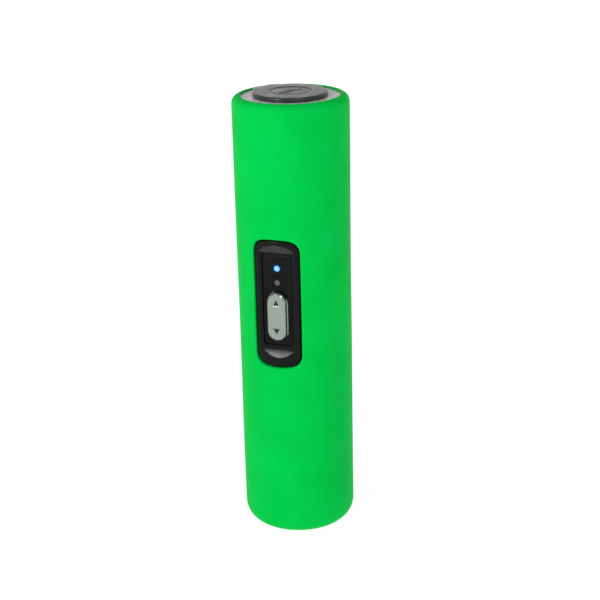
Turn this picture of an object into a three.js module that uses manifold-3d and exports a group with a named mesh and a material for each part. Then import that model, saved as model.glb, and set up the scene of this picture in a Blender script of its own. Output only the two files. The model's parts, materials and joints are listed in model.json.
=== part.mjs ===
// A pocket vaporizer in a silicone sleeve.
// Millimetres, +Z up, origin at the centre of the base, control panel facing -Y.
import * as THREE from "three";
import { mergeVertices } from "three/addons/utils/BufferGeometryUtils.js";
import Module from "manifold-3d";

const wasm = await Module();
wasm.setup();

// ---- Driving dimensions -------------------------------------------------------------------------

// Sleeve: a stretched skin, turned in under the base and over the edge of the deck.
const SLEEVE = {
  height: 121.9,
  r: 15.5,
  innerR: 13.8,
  baseFlatR: 12.4,
  baseFillet: 3.6,
  lipR: 10.9,
  lipThickness: 1.6,
  topRound: 2.0,
  beadR: 13.2,
  beadLow: 121.5,
};

// Chassis tube under the sleeve.
const TUBE = { r: 13.6, innerR: 12.6, low: 3.5, high: 119.4 };

// Opening of the sleeve for the control panel, and the panel that fills it.
const WINDOW = { halfWidth: 6.45, low: 50.5, high: 86.5, corner: 3.4, crown: 0.8 };
const PANEL_GAP = 0.3;
const PANEL = { r: 15.0, innerR: 13.85, plugHalfWidth: 4.9, plugLow: 52.3, plugHigh: 84.7 };
const PANEL_FACE = { halfWidth: 5.1, low: 55.7, high: 82.7, scoopLow: 53.2, scoopHigh: 84.9 };
const OVERLAY = { halfWidth: 4.2, low: 56.6, high: 82.1, corner: 1.0, gap: 0.15 };

// Depths of the panel's layers: y of each face, front faces first.
const Y = {
  rockerTop: -15.45,
  rockerFlangeFront: -14.2,
  rockerFlangeBack: -13.95,
  panelFace: -14.1,
  overlayFront: -13.85,
  overlayBack: -13.6,
  recessFloor: -13.4,
  pivot: -12.9,
  rockerBack: -12.8,
  panelBack: -12.45,
  retainerFront: -12.35,
  retainerBack: -11.95,
  footTip: -12.0,
  plungerTip: -11.9,
  plungerBack: -11.4,
  switchFront: -11.55,
  partsFront: -10.85,
  boardFront: -10.8,
  boardBack: -10.2,
  partsBack: -10.15,
};

// Rocker button on two pivot pins, with one foot over each switch.
const ROCKER = {
  z: 65.1,
  halfWidth: 2.55,
  halfLength: 6.6,
  flange: 0.35,
  flangeEnd: 0.05,
  clearance: 0.25,
  chamfer: 0.35,
  pinR: 0.4,
  pinEnd: 3.6,
  pinSlotEnd: 3.75,
  pinSlotR: 0.5,
  footR: 0.8,
  footOffset: 4.2,
  markHeight: 1.4,
  markHalfWidth: 0.85,
  markOffset: 4.0,
  markDepth: 0.25,
};
const LIGHT = { power: 78.3, heat: 74.3, powerR: 0.85, heatR: 0.75, dome: 0.12, holeR: 0.97 };
const LIGHT_COLLAR = { r: 1.2, front: -12.8, holeR: 1.35, holeFront: -12.85 };
const LIGHT_TAIL = { r: 0.7, end: -11.6 };

// Top deck, mouth and rubber cap.
const DECK = { r: 13.55, low: 119.7, high: 121.4, holeR: 7.2, edge: 0.2 };
const SPIGOT = { r: 12.3, innerR: 10.2, low: 117.2 };
const PILLAR = { count: 3, ring: 11.0, r: 1.15, low: 90.9, holeR: 0.85, holeDepth: 5.5 };
const CAP = { r: 9.9, low: 121.5, high: 122.65, round: 0.35 };
const CAP_PLUG = { r: 6.85, low: 114.6, hollowR: 5.2, hollowTop: 118.6, beadZ: 117.7, bead: 0.2, taper: 0.5 };
const CAP_RING = { r: 5.4, width: 0.4, depth: 0.25 };
const CAP_TAB = { reach: 10.8, halfWidth: 3.0, corner: 0.4, angleDeg: 155 };
const MOUTH = { r: 9.0, innerR: 7.2, low: 106.0, high: 119.4, stepR: 5.9, stepTop: 107.4 };

// Heated chamber.
const OVEN = { r: 6.9, innerR: 5.8, low: 91.0, high: 104.5, floor: 1.2 };
const HEATER = { r: 7.8, innerR: 7.2, low: 93.0, high: 103.0, slit: 1.2 };
const INSULATION = { r: 9.3, innerR: 8.1, low: 90.3, high: 105.7 };
const HOLDER = { r: 12.3, low: 88.5, high: 90.6, recessR: 9.6, recessZ: 90.0, centreR: 1.6 };
const HOLDER_LUG = { inner: 3.6, outer: 5.2, back: -7.6, front: -10.1, low: 84.3 };
const CHAMBER_SEAL = { ring: 6.4, wireR: 0.55, z: 105.2 };
const SPACER = { low: 90.2, high: 90.8 };
const SENSOR = { r: 0.9, low: 87.2, shoulder: 90.2, high: 90.7, tipR: 0.5 };
const SENSOR_LEG = { r: 0.22, x: 0.45, low: 84.8 };
const DECK_SCREW = { headR: 1.4, headHeight: 1.0, shankR: 0.7, length: 6, z: 87.3, clearR: 0.9 };
const HEATER_LEAD = { x: 2.4, y: -7.1, holeR: 0.8, r: 0.45 };

// Cell and its compartment.
const CELL = { r: 9.2, low: 9.3, high: 74.3, nubR: 3.5, nubHigh: 75.3 };
const CELL_TUBE = { r: 10.0, innerR: 9.5, low: 9.0, high: 76.5 };
const BULKHEAD = { r: 12.3, low: 77.2, high: 78.8, stemHoleR: 1.1, flatHalfWidth: 6.5 };
const LEAD_NOTCH = { x0: -13, x1: -9.4, y0: -5.2, y1: -2.6 };
const CONTACT = { r: 4.0, low: 75.6, discHigh: 76.3, stemR: 0.8, high: 79.5 };
const BASE_RING = { r: 12.4, low: 2.0, high: 12.0, boreR: 10.75, seatR: 10.2, chamfer: 0.2 };
const BASE_FLANGE = { r: 13.6, high: 3.2 };
const BATTERY_CAP = { r: 10.5, low: 0.9, high: 7.3, cupR: 8.3, floorHigh: 3.0, grooveR: 9.9 };
const COIN_SLOT = { halfLength: 7.0, halfWidth: 1.0, depth: 1.2 };
const CAP_SEAL = { ring: 10.35, wireR: 0.4, z: 2.2 };
const SPRING = { wireR: 0.4, lowR: 5.6, highR: 3.0, low: 3.6, high: 8.7, turns: 3 };

// Circuit board.
const BOARD = { halfWidth: 5.5, low: 50.0, high: 87.5, corner: 0.8 };
const BOARD_SCREW = {
  x: 4.4,
  z: [78.0, 85.5],
  headR: 0.9,
  headHeight: 0.35,
  shankR: 0.4,
  length: 2.0,
  holeR: 0.6,
  pilotR: 0.5,
  pilotDepth: 2.0,
};
const CHIP = { halfWidth: 2.0, back: -9.3, low: 79.4, high: 83.4 };
const INDUCTOR = { halfWidth: 2.0, back: -8.2, low: 84.1, high: 87.3 };
const MOSFET = { x0: -3.6, x1: -0.4, front: -11.75, low: 50.6, high: 53.4 };
const LED = { halfWidth: 0.8, halfHeight: 0.4, front: -11.4 };
const SWITCH = { halfWidth: 1.5, halfHeight: 1.3, boreR: 0.85, boreDepth: 0.5, plungerR: 0.7 };
const RETAINER = { halfWidth: 4.6, low: 54.0, high: 84.2, corner: 0.8, footHoleR: 1.2, lightHoleR: 1.0 };
const RETAINER_SCREW = {
  x: 3.9,
  z: [55.0, 83.2],
  headR: 0.75,
  headHeight: 0.3,
  shankR: 0.4,
  depth: 0.9,
  holeR: 0.55,
  pilotR: 0.5,
};

// Charging jack at the rear.
const JACK = { z: 83.5, holeR: 1.75, nozzleR: 2.9, nozzleY: 13.4, wallHoleR: 3.3, sleeveHoleR: 4.2 };
const JACK_BODY = { halfWidth: 3.2, halfHeight: 2.9, front: 11.7, back: 4.6, pinR: 0.5, wall: 1.5 };

// Insulated leads: their radii, and where each one runs.
const LEAD_R = { cell: 0.5, jack: 0.4 };
const CELL_POSITIVE_ROUTE = [
  [0, -0.4, 80.2],
  [0.6, -3, 81.4],
  [2.2, -6.6, 82.2],
  [3.0, -9.7, 82.0],
];
const CELL_NEGATIVE_ROUTE = [
  [-10.6, -3.9, 12.6],
  [-10.6, -3.9, 45],
  [-10.6, -3.9, 78],
  [-9.3, -5.6, 81.2],
  [-5.4, -8.2, 82.0],
  [-3.0, -9.7, 81.8],
];
const HEATER_ROUTE = [
  [HEATER_LEAD.x, HEATER_LEAD.y, 92.6],
  [HEATER_LEAD.x, HEATER_LEAD.y, 88.6],
  [2.7, -8.2, 87.0],
  [2.8, -9.8, 86.4],
];
const JACK_ROUTE = [
  [1.4, 4.2, 84.8],
  [2.6, 0, 85.4],
  [3.0, -5, 85.0],
  [3.0, -9.8, 84.4],
];

const CIRCLE = { large: 44, medium: 28, small: 16, tiny: 8 };

// ---- Finishes -----------------------------------------------------------------------------------

const finish = (color, roughness, metalness = 0) =>
  new THREE.MeshStandardMaterial({ color, roughness, metalness });

const FINISH = {
  silicone: finish("#00c853", 0.45),
  aluminium: finish("#b9bcbe", 0.35, 0.9),
  deck: finish("#c3c6c6", 0.4, 0.85),
  capRubber: finish("#1b1c1e", 0.6),
  panelPlastic: finish("#121316", 0.4),
  overlayPlastic: finish("#0b0c0e", 0.25),
  rockerMetal: finish("#9baba1", 0.3, 0.8),
  blueLight: finish("#6fbafd", 0.2),
  greyLens: finish("#5e6668", 0.25),
  steel: finish("#a7a9ab", 0.3, 0.95),
  ceramic: finish("#ece7dc", 0.6),
  insulation: finish("#d9d3c4", 0.9),
  seal: finish("#c2482f", 0.6),
  board: finish("#1f5a37", 0.5),
  blackPlastic: finish("#17181a", 0.5),
  whitePlastic: finish("#e7e7e2", 0.5),
  cellWrap: finish("#3566a8", 0.35),
  cellTube: finish("#d8d4c8", 0.7),
  redWire: finish("#b3261e", 0.5),
  blackWire: finish("#1a1a1a", 0.5),
  copper: finish("#b87333", 0.35, 0.9),
};

// ---- Solids -------------------------------------------------------------------------------------

// A solid from a closed geometry: vertices at one place are merged, and empty triangles dropped.
function solid(geometry) {
  geometry.deleteAttribute("normal");
  geometry.deleteAttribute("uv");
  const merged = mergeVertices(geometry, 1e-4);
  const corner = merged.index.array;
  const triVerts = [];
  for (let i = 0; i < corner.length; i += 3) {
    const [a, b, c] = corner.subarray(i, i + 3);
    if (a !== b && b !== c && c !== a) triVerts.push(a, b, c);
  }
  return new wasm.Manifold(
    new wasm.Mesh({
      numProp: 3,
      vertProperties: merged.attributes.position.array,
      triVerts: new Uint32Array(triVerts),
    }),
  );
}

function geometryOf(made) {
  const { numProp, numVert, vertProperties, triVerts } = made.getMesh();
  const position = new Float32Array(numVert * 3);
  for (let i = 0; i < numVert; i++) {
    position.set(vertProperties.subarray(i * numProp, i * numProp + 3), i * 3);
  }
  const geometry = new THREE.BufferGeometry();
  geometry.setAttribute("position", new THREE.BufferAttribute(position, 3));
  geometry.setIndex(new THREE.BufferAttribute(triVerts, 1));
  geometry.computeVertexNormals();
  return geometry;
}

const joined = (...solids) => solids.reduce((a, b) => a.add(b));
const cut = (body, ...tools) => tools.reduce((a, b) => a.subtract(b), body);

function piece(name, made, material) {
  const mesh = new THREE.Mesh(geometryOf(made), material);
  mesh.name = name;
  return mesh;
}

// A profile of [radius, z] points turned about Z. It starts and ends on the axis, or is closed here.
function turned(profile, segments = CIRCLE.medium) {
  let area = 0;
  profile.forEach(([r, z], i) => {
    const [nextR, nextZ] = profile[(i + 1) % profile.length];
    area += r * nextZ - nextR * z;
  });
  const outline = area > 0 ? [...profile] : [...profile].reverse();
  const onAxis = outline[0][0] === 0 && outline.at(-1)[0] === 0;
  if (!onAxis) outline.push(outline[0]);
  const points = outline.map(([r, z]) => new THREE.Vector2(r, z));
  return solid(new THREE.LatheGeometry(points, segments).rotateX(Math.PI / 2));
}

const ring = (innerR, r, low, high, segments) =>
  turned([[innerR, low], [r, low], [r, high], [innerR, high]], segments);

const rod = (r, low, high, segments) => turned([[0, low], [r, low], [r, high], [0, high]], segments);

function box(x0, x1, y0, y1, z0, z1) {
  const geometry = new THREE.BoxGeometry(x1 - x0, y1 - y0, z1 - z0);
  return solid(geometry.translate((x0 + x1) / 2, (y0 + y1) / 2, (z0 + z1) / 2));
}

// A rod along Y from y0 to y1, at x and z.
function rodY(r, x, z, y0, y1, segments = CIRCLE.small) {
  const geometry = new THREE.CylinderGeometry(r, r, y1 - y0, segments);
  return solid(geometry.translate(x, (y0 + y1) / 2, z));
}

// A rod along X between -reach and +reach.
function rodX(r, y, z, reach) {
  const geometry = new THREE.CylinderGeometry(r, r, 2 * reach, CIRCLE.small);
  return solid(geometry.rotateZ(Math.PI / 2).translate(0, y, z));
}

// An outline in x and z, extruded along Y from y0 to y1.
function slabY(shape, y0, y1, curveSegments = 6) {
  const options = { depth: y1 - y0, bevelEnabled: false, curveSegments };
  return solid(new THREE.ExtrudeGeometry(shape, options).rotateX(Math.PI / 2).translate(0, y1, 0));
}

// A rounded oblong whose ends bow outwards by crown, with corners that run smoothly into the bow.
function oblong(halfWidth, low, high, corner, crown = 0) {
  const side = halfWidth - corner;
  const share = side / halfWidth;
  const bow = crown * share * share;
  const drop = crown * (2 * share - share * share);
  const shape = new THREE.Shape();
  shape.moveTo(-halfWidth, low + drop + corner);
  shape.quadraticCurveTo(-halfWidth, low + drop, -side, low + bow);
  if (crown) shape.quadraticCurveTo(0, low - bow, side, low + bow);
  else shape.lineTo(side, low);
  shape.quadraticCurveTo(halfWidth, low + drop, halfWidth, low + drop + corner);
  shape.lineTo(halfWidth, high - drop - corner);
  shape.quadraticCurveTo(halfWidth, high - drop, side, high - bow);
  if (crown) shape.quadraticCurveTo(0, high + bow, -side, high - bow);
  else shape.lineTo(-side, high);
  shape.quadraticCurveTo(-halfWidth, high - drop, -halfWidth, high - drop - corner);
  return shape;
}

// A straight-sided slot with half-round ends, centred on z.
function stadium(halfWidth, halfLength, z) {
  const centre = halfLength - halfWidth;
  const shape = new THREE.Shape();
  shape.absarc(0, z + centre, halfWidth, 0, Math.PI, false);
  shape.absarc(0, z - centre, halfWidth, Math.PI, 2 * Math.PI, false);
  return shape;
}

// A wire of radius r along a smooth curve through the points.
function wire(curve, r, steps) {
  const section = new THREE.Shape().absarc(0, 0, r, 0, 2 * Math.PI, false);
  const options = { extrudePath: curve, steps, curveSegments: 4 };
  return solid(new THREE.ExtrudeGeometry(section, options));
}

const lead = (points, r, steps) =>
  wire(new THREE.CatmullRomCurve3(points.map((p) => new THREE.Vector3(...p))), r, steps);

const aroundAxis = (count, radius, startDeg) =>
  Array.from({ length: count }, (_, i) => {
    const angle = THREE.MathUtils.degToRad(startDeg + (360 * i) / count);
    return [radius * Math.cos(angle), radius * Math.sin(angle)];
  });

// ---- Housing ------------------------------------------------------------------------------------

function siliconeSleeve() {
  const { height, r, innerR, baseFlatR, baseFillet, lipR, lipThickness, topRound, beadR, beadLow } = SLEEVE;
  const quarter = [0, 1, 2, 3].map((i) => (Math.PI / 2) * (i / 3));
  const foot = quarter.map((a) => [
    baseFlatR + (r - baseFlatR) * Math.sin(a),
    baseFillet * (1 - Math.cos(a)),
  ]);
  const crest = quarter.map((a) => [
    r - topRound * (1 - Math.cos(a)),
    height - topRound * (1 - Math.sin(a)),
  ]);
  const bead = [[beadR, height], [beadR, beadLow], [innerR, beadLow]];
  const lip = [[innerR, lipThickness], [lipR, lipThickness]];
  const shell = turned([[lipR, 0], ...foot, ...crest, ...bead, ...lip], CIRCLE.large);
  const { halfWidth, low, high, corner, crown } = WINDOW;
  const window = slabY(oblong(halfWidth, low, high, corner, crown), -r - 1, 0);
  return cut(shell, window, rodY(JACK.sleeveHoleR, 0, JACK.z, 0, r + 1));
}

function bodyTube() {
  const wall = ring(TUBE.innerR, TUBE.r, TUBE.low, TUBE.high, CIRCLE.large);
  const clear = PANEL.plugHalfWidth + PANEL_GAP;
  const window = box(-clear, clear, -TUBE.r - 1, 0, PANEL.plugLow - PANEL_GAP, PANEL.plugHigh + PANEL_GAP);
  return cut(wall, window, rodY(JACK.wallHoleR, 0, JACK.z, 0, TUBE.r + 1));
}

// Top deck: a plate with a locating spigot and three pillars that the chamber holder is screwed to.
function topPlate() {
  const { edge } = DECK;
  const plate = turned(
    [
      [DECK.holeR, DECK.low],
      [SPIGOT.innerR, DECK.low],
      [SPIGOT.innerR, SPIGOT.low],
      [SPIGOT.r, SPIGOT.low],
      [SPIGOT.r, DECK.low],
      [DECK.r, DECK.low],
      [DECK.r, DECK.high - edge],
      [DECK.r - edge, DECK.high],
      [DECK.holeR + edge, DECK.high],
      [DECK.holeR, DECK.high - edge],
    ],
    CIRCLE.large,
  );
  const pillars = aroundAxis(PILLAR.count, PILLAR.ring, 90).map(([x, y]) =>
    cut(
      rod(PILLAR.r, PILLAR.low, DECK.low + edge, CIRCLE.tiny),
      rod(PILLAR.holeR, PILLAR.low - 1, PILLAR.low + PILLAR.holeDepth, CIRCLE.tiny),
    ).translate([x, y, 0]),
  );
  return joined(plate, ...pillars);
}

// Rubber cap: a disc with a ring groove, a hollow plug with one sealing bead, and a pull tab.
function topCap() {
  const { r, low, high, round } = CAP;
  const plug = CAP_PLUG;
  const groove = [CAP_RING.r - CAP_RING.width / 2, CAP_RING.r + CAP_RING.width / 2];
  const body = turned([
    [0, high],
    [groove[0], high],
    [groove[0], high - CAP_RING.depth],
    [groove[1], high - CAP_RING.depth],
    [groove[1], high],
    [r - round, high],
    [r - 0.3 * round, high - 0.3 * round],
    [r, high - round],
    [r, low + round],
    [r - round, low],
    [plug.r, low],
    [plug.r, plug.beadZ + 2 * plug.bead],
    [plug.r + plug.bead, plug.beadZ],
    [plug.r, plug.beadZ - 2 * plug.bead],
    [plug.r, plug.low + plug.taper],
    [plug.r - plug.taper, plug.low],
    [plug.hollowR, plug.low],
    [plug.hollowR, plug.hollowTop],
    [0, plug.hollowTop],
  ]);
  return joined(body, pullTab());
}

// A pull tab whose sides run off tangent to the rim.
function pullTab() {
  const { reach, halfWidth, corner, angleDeg } = CAP_TAB;
  const tip = new THREE.Vector2(reach, halfWidth);
  const tangentR = CAP.r - 0.05;
  const tangentAngle = tip.angle() + Math.acos(tangentR / tip.length());
  const root = new THREE.Vector2(tangentR * Math.cos(tangentAngle), tangentR * Math.sin(tangentAngle));
  const side = root.clone().lerp(tip, 1 - corner / root.distanceTo(tip));
  const outline = new THREE.Shape();
  outline.moveTo(root.x, -root.y);
  outline.lineTo(side.x, -side.y);
  outline.quadraticCurveTo(reach, -halfWidth, reach, -halfWidth + corner);
  outline.lineTo(reach, halfWidth - corner);
  outline.quadraticCurveTo(reach, halfWidth, side.x, side.y);
  outline.lineTo(root.x, root.y);
  const margin = 0.1;
  const depth = CAP.high - CAP.low - 2 * margin;
  const tab = new THREE.ExtrudeGeometry(outline, { depth, bevelEnabled: false, curveSegments: 4 });
  return solid(tab.translate(0, 0, CAP.low + margin).rotateZ(THREE.MathUtils.degToRad(angleDeg)));
}

// ---- Heated chamber -----------------------------------------------------------------------------

const mouthGuide = () =>
  turned([
    [MOUTH.stepR, MOUTH.low],
    [MOUTH.r, MOUTH.low],
    [MOUTH.r, MOUTH.high],
    [MOUTH.innerR, MOUTH.high],
    [MOUTH.innerR, MOUTH.stepTop],
    [MOUTH.stepR, MOUTH.stepTop],
  ]);

const toroid = (ringR, wireR, z) =>
  solid(new THREE.TorusGeometry(ringR, wireR, 6, CIRCLE.medium).translate(0, 0, z));

const ovenCup = () =>
  turned([
    [0, OVEN.low],
    [OVEN.r, OVEN.low],
    [OVEN.r, OVEN.high],
    [OVEN.innerR, OVEN.high],
    [OVEN.innerR, OVEN.low + OVEN.floor],
    [0, OVEN.low + OVEN.floor],
  ]);

// A split band, so that it can be clamped round the cup.
function heaterBand() {
  const band = ring(HEATER.innerR, HEATER.r, HEATER.low, HEATER.high);
  const half = HEATER.slit / 2;
  return cut(band, box(-half, half, 0, HEATER.r + 1, HEATER.low - 1, HEATER.high + 1));
}

// Disc under the chamber, with two lugs for the board, a seat for the insulation, and holes.
function chamberHolder() {
  const disc = turned([
    [HOLDER.centreR, HOLDER.low],
    [HOLDER.r, HOLDER.low],
    [HOLDER.r, HOLDER.high],
    [HOLDER.recessR, HOLDER.high],
    [HOLDER.recessR, HOLDER.recessZ],
    [HOLDER.centreR, HOLDER.recessZ],
  ]);
  const { inner, outer, back, front, low } = HOLDER_LUG;
  const lug = (x0, x1) => box(x0, x1, front, back, low, HOLDER.low + 0.5);
  const through = (r, x, y) => rod(r, HOLDER.low - 1, HOLDER.high + 1, CIRCLE.tiny).translate([x, y, 0]);
  const leadHoles = [-1, 1].map((side) => through(HEATER_LEAD.holeR, side * HEATER_LEAD.x, HEATER_LEAD.y));
  const screwHoles = aroundAxis(PILLAR.count, PILLAR.ring, 90).map(([x, y]) =>
    through(DECK_SCREW.clearR, x, y),
  );
  const pilots = boardPilots(BOARD_SCREW.z[1], front);
  return cut(joined(disc, lug(inner, outer), lug(-outer, -inner)), ...leadHoles, ...screwHoles, ...pilots);
}

// Pilot holes for one row of board screws, from the face at y inwards.
const boardPilots = (z, y) =>
  [-1, 1].map((side) =>
    rodY(BOARD_SCREW.pilotR, side * BOARD_SCREW.x, z, y - 1, y + BOARD_SCREW.pilotDepth, CIRCLE.tiny),
  );

function temperatureSensor() {
  const { r, low, shoulder, high, tipR } = SENSOR;
  const leg = SENSOR_LEG;
  const bead = turned([[0, low], [r, low], [r, shoulder], [tipR, high], [0, high]], CIRCLE.tiny);
  const legs = [-leg.x, leg.x].map((x) => rod(leg.r, leg.low, low + leg.r, CIRCLE.tiny).translate([x, 0, 0]));
  return joined(bead, ...legs);
}

// A screw standing on Z: the head's face is at 0 and the shank runs up from it to a point.
function screw(headR, headHeight, shankR, length) {
  return turned(
    [
      [0, 0],
      [headR, 0],
      [headR, headHeight],
      [shankR, headHeight],
      [shankR, headHeight + length],
      [0, headHeight + length + shankR * 0.6],
    ],
    CIRCLE.tiny,
  );
}

// ---- Cell compartment ---------------------------------------------------------------------------

const batteryCell = () =>
  turned([
    [0, CELL.low],
    [CELL.r - 0.4, CELL.low],
    [CELL.r, CELL.low + 0.4],
    [CELL.r, CELL.high - 0.4],
    [CELL.r - 0.4, CELL.high],
    [CELL.nubR, CELL.high],
    [CELL.nubR, CELL.nubHigh],
    [0, CELL.nubHigh],
  ]);

// Wall between the cell and the electronics, flattened at the front for the board.
function cellBulkhead() {
  const disc = ring(BULKHEAD.stemHoleR, BULKHEAD.r, BULKHEAD.low, BULKHEAD.high);
  const [low, high] = [BULKHEAD.low - 1, BULKHEAD.high + 1];
  const flat = BULKHEAD.flatHalfWidth;
  const boardCut = box(-flat, flat, -BULKHEAD.r - 1, HOLDER_LUG.front, low, high);
  const leadNotch = box(LEAD_NOTCH.x0, LEAD_NOTCH.x1, LEAD_NOTCH.y0, LEAD_NOTCH.y1, low, high);
  return cut(disc, boardCut, leadNotch, ...boardPilots(BOARD_SCREW.z[0], HOLDER_LUG.front));
}

function positiveContact() {
  const { r, low, discHigh, stemR, high } = CONTACT;
  return joined(rod(r, low, discHigh, CIRCLE.small), rod(stemR, low, high, CIRCLE.small));
}

function baseRing() {
  const { r, low, high, boreR, seatR, chamfer } = BASE_RING;
  const seatZ = CELL_TUBE.low - 0.3;
  return turned([
    [boreR + chamfer, low],
    [BASE_FLANGE.r, low],
    [BASE_FLANGE.r, BASE_FLANGE.high],
    [r, BASE_FLANGE.high],
    [r, high],
    [seatR, high],
    [seatR, seatZ],
    [boreR, seatZ],
    [boreR, low + chamfer],
  ]);
}

// Screw cap: a cup with a seal groove and a coin slot across its underside.
function batteryCap() {
  const { r, low, high, cupR, floorHigh, grooveR } = BATTERY_CAP;
  const half = CAP_SEAL.wireR + 0.1;
  const body = turned(
    [
      [0, low],
      [r - 0.4, low],
      [r, low + 0.4],
      [r, CAP_SEAL.z - half],
      [grooveR, CAP_SEAL.z - half],
      [grooveR, CAP_SEAL.z + half],
      [r, CAP_SEAL.z + half],
      [r, high - 0.2],
      [r - 0.2, high],
      [cupR, high],
      [cupR, floorHigh],
      [0, floorHigh],
    ],
    CIRCLE.medium,
  );
  const { halfLength, halfWidth, depth } = COIN_SLOT;
  return cut(body, box(-halfLength, halfLength, -halfWidth, halfWidth, low - 1, low + depth));
}

// Conical spring: its radius falls evenly as it climbs.
class ConeHelix extends THREE.Curve {
  getPoint(t, target = new THREE.Vector3()) {
    const angle = 2 * Math.PI * SPRING.turns * t;
    const r = THREE.MathUtils.lerp(SPRING.lowR, SPRING.highR, t);
    const z = THREE.MathUtils.lerp(SPRING.low, SPRING.high, t);
    return target.set(r * Math.cos(angle), r * Math.sin(angle), z);
  }
}

// ---- Control panel ------------------------------------------------------------------------------

// Wedge that scoops an end of the panel down from its round face to the flat.
function scoop(zDeep, zShallow) {
  const side = Math.sign(zShallow - zDeep);
  const outline = new THREE.Shape();
  outline.moveTo(PANEL.r + 1, zDeep - side);
  outline.lineTo(-Y.panelFace, zDeep - side);
  outline.lineTo(-Y.panelFace, zDeep);
  outline.lineTo(PANEL.r + 0.02, zShallow);
  outline.lineTo(PANEL.r + 1, zShallow);
  const options = { depth: 2 * PANEL_FACE.halfWidth, bevelEnabled: false };
  const geometry = new THREE.ExtrudeGeometry(outline, options);
  geometry.rotateX(Math.PI / 2).rotateZ(-Math.PI / 2);
  return solid(geometry.translate(-PANEL_FACE.halfWidth, 0, 0));
}

// The rocker's opening in the panel and its inner plate.
function rockerOpening() {
  const { z, halfWidth, halfLength, flange, flangeEnd, clearance } = ROCKER;
  return stadium(halfWidth + flange + clearance, halfLength + flangeEnd + clearance, z);
}

function controlPanel() {
  const { halfWidth, low, high, corner, crown } = WINDOW;
  const gap = PANEL_GAP;
  const outline = oblong(halfWidth - gap, low + gap, high - gap, corner - gap, crown);
  const curved = ring(PANEL.innerR, PANEL.r, low, high, 2 * CIRCLE.large);
  const frame = curved.intersect(slabY(outline, -PANEL.r - 1, 0));
  const plugWidth = PANEL.plugHalfWidth;
  const plug = box(-plugWidth, plugWidth, -PANEL.innerR, Y.panelBack, PANEL.plugLow, PANEL.plugHigh);
  const face = PANEL_FACE;
  const flat = box(-face.halfWidth, face.halfWidth, -PANEL.r - 1, Y.panelFace, face.low, face.high);
  const recessOutline = oblong(OVERLAY.halfWidth, OVERLAY.low, OVERLAY.high, OVERLAY.corner);
  const recess = slabY(recessOutline, -PANEL.r, Y.recessFloor);
  const inside = Y.panelBack + 1;
  const rockerHole = slabY(rockerOpening(), -PANEL.r, inside);
  const { z, pinSlotEnd, pinSlotR } = ROCKER;
  const pinSlot = box(-pinSlotEnd, pinSlotEnd, Y.recessFloor - 0.1, inside, z - pinSlotR, z + pinSlotR);
  const lightHoles = [LIGHT.power, LIGHT.heat].flatMap((height) => [
    rodY(LIGHT.holeR, 0, height, -PANEL.r, inside),
    rodY(LIGHT_COLLAR.holeR, 0, height, LIGHT_COLLAR.holeFront, inside),
  ]);
  const pilotTip = Y.panelBack - RETAINER_SCREW.depth + 0.05;
  const pilots = RETAINER_SCREW.z.flatMap((height) =>
    [-1, 1].map((side) =>
      rodY(RETAINER_SCREW.pilotR, side * RETAINER_SCREW.x, height, pilotTip, inside, CIRCLE.tiny),
    ),
  );
  return cut(
    joined(frame, plug),
    flat,
    scoop(face.low, face.scoopLow),
    scoop(face.high, face.scoopHigh),
    recess,
    rockerHole,
    pinSlot,
    ...lightHoles,
    ...pilots,
  );
}

const circleHole = (x, z, r) => new THREE.Path().absarc(x, z, r, 0, 2 * Math.PI, false);

function panelOverlay() {
  const { halfWidth, low, high, corner, gap } = OVERLAY;
  const outline = oblong(halfWidth - gap, low + gap, high - gap, corner - gap);
  const lightHoles = [LIGHT.power, LIGHT.heat].map((z) => circleHole(0, z, LIGHT.holeR));
  outline.holes.push(rockerOpening(), ...lightHoles);
  return slabY(outline, Y.overlayFront, Y.overlayBack);
}

// A triangle in x and z, pointing up or down.
function arrowMark(direction) {
  const z = ROCKER.z + direction * ROCKER.markOffset;
  const half = ROCKER.markHeight / 2;
  const shape = new THREE.Shape();
  shape.moveTo(0, z + direction * half);
  shape.lineTo(-direction * ROCKER.markHalfWidth, z - direction * half);
  shape.lineTo(direction * ROCKER.markHalfWidth, z - direction * half);
  return slabY(shape, Y.rockerTop - 1, Y.rockerTop + ROCKER.markDepth);
}

function rocker() {
  const { z, halfWidth, halfLength, flange, flangeEnd, chamfer } = ROCKER;
  const options = {
    depth: Y.rockerBack - Y.rockerTop - 2 * chamfer,
    bevelThickness: chamfer,
    bevelSize: chamfer,
    bevelOffset: -chamfer,
    bevelSegments: 1,
    curveSegments: 6,
  };
  const crown = new THREE.ExtrudeGeometry(stadium(halfWidth, halfLength, z), options);
  const body = solid(crown.rotateX(Math.PI / 2).translate(0, Y.rockerBack - chamfer, 0));
  const skirtOutline = stadium(halfWidth + flange, halfLength + flangeEnd, z);
  const skirt = slabY(skirtOutline, Y.rockerFlangeFront, Y.rockerFlangeBack);
  const pins = rodX(ROCKER.pinR, Y.pivot, z, ROCKER.pinEnd);
  const { footR, footOffset } = ROCKER;
  const feet = [-1, 1].map((side) =>
    rodY(footR, 0, z + side * footOffset, Y.rockerBack - 0.5, Y.footTip, CIRCLE.tiny),
  );
  return cut(joined(body, skirt, pins, ...feet), arrowMark(1), arrowMark(-1));
}

function rockerRetainer() {
  const { halfWidth, low, high, corner, footHoleR, lightHoleR } = RETAINER;
  const outline = oblong(halfWidth, low, high, corner);
  for (const side of [-1, 1]) {
    outline.holes.push(circleHole(0, ROCKER.z + side * ROCKER.footOffset, footHoleR));
    for (const z of RETAINER_SCREW.z) {
      outline.holes.push(circleHole(side * RETAINER_SCREW.x, z, RETAINER_SCREW.holeR));
    }
  }
  for (const z of [LIGHT.power, LIGHT.heat]) outline.holes.push(circleHole(0, z, lightHoleR));
  return slabY(outline, Y.retainerFront, Y.retainerBack, 4);
}

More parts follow.
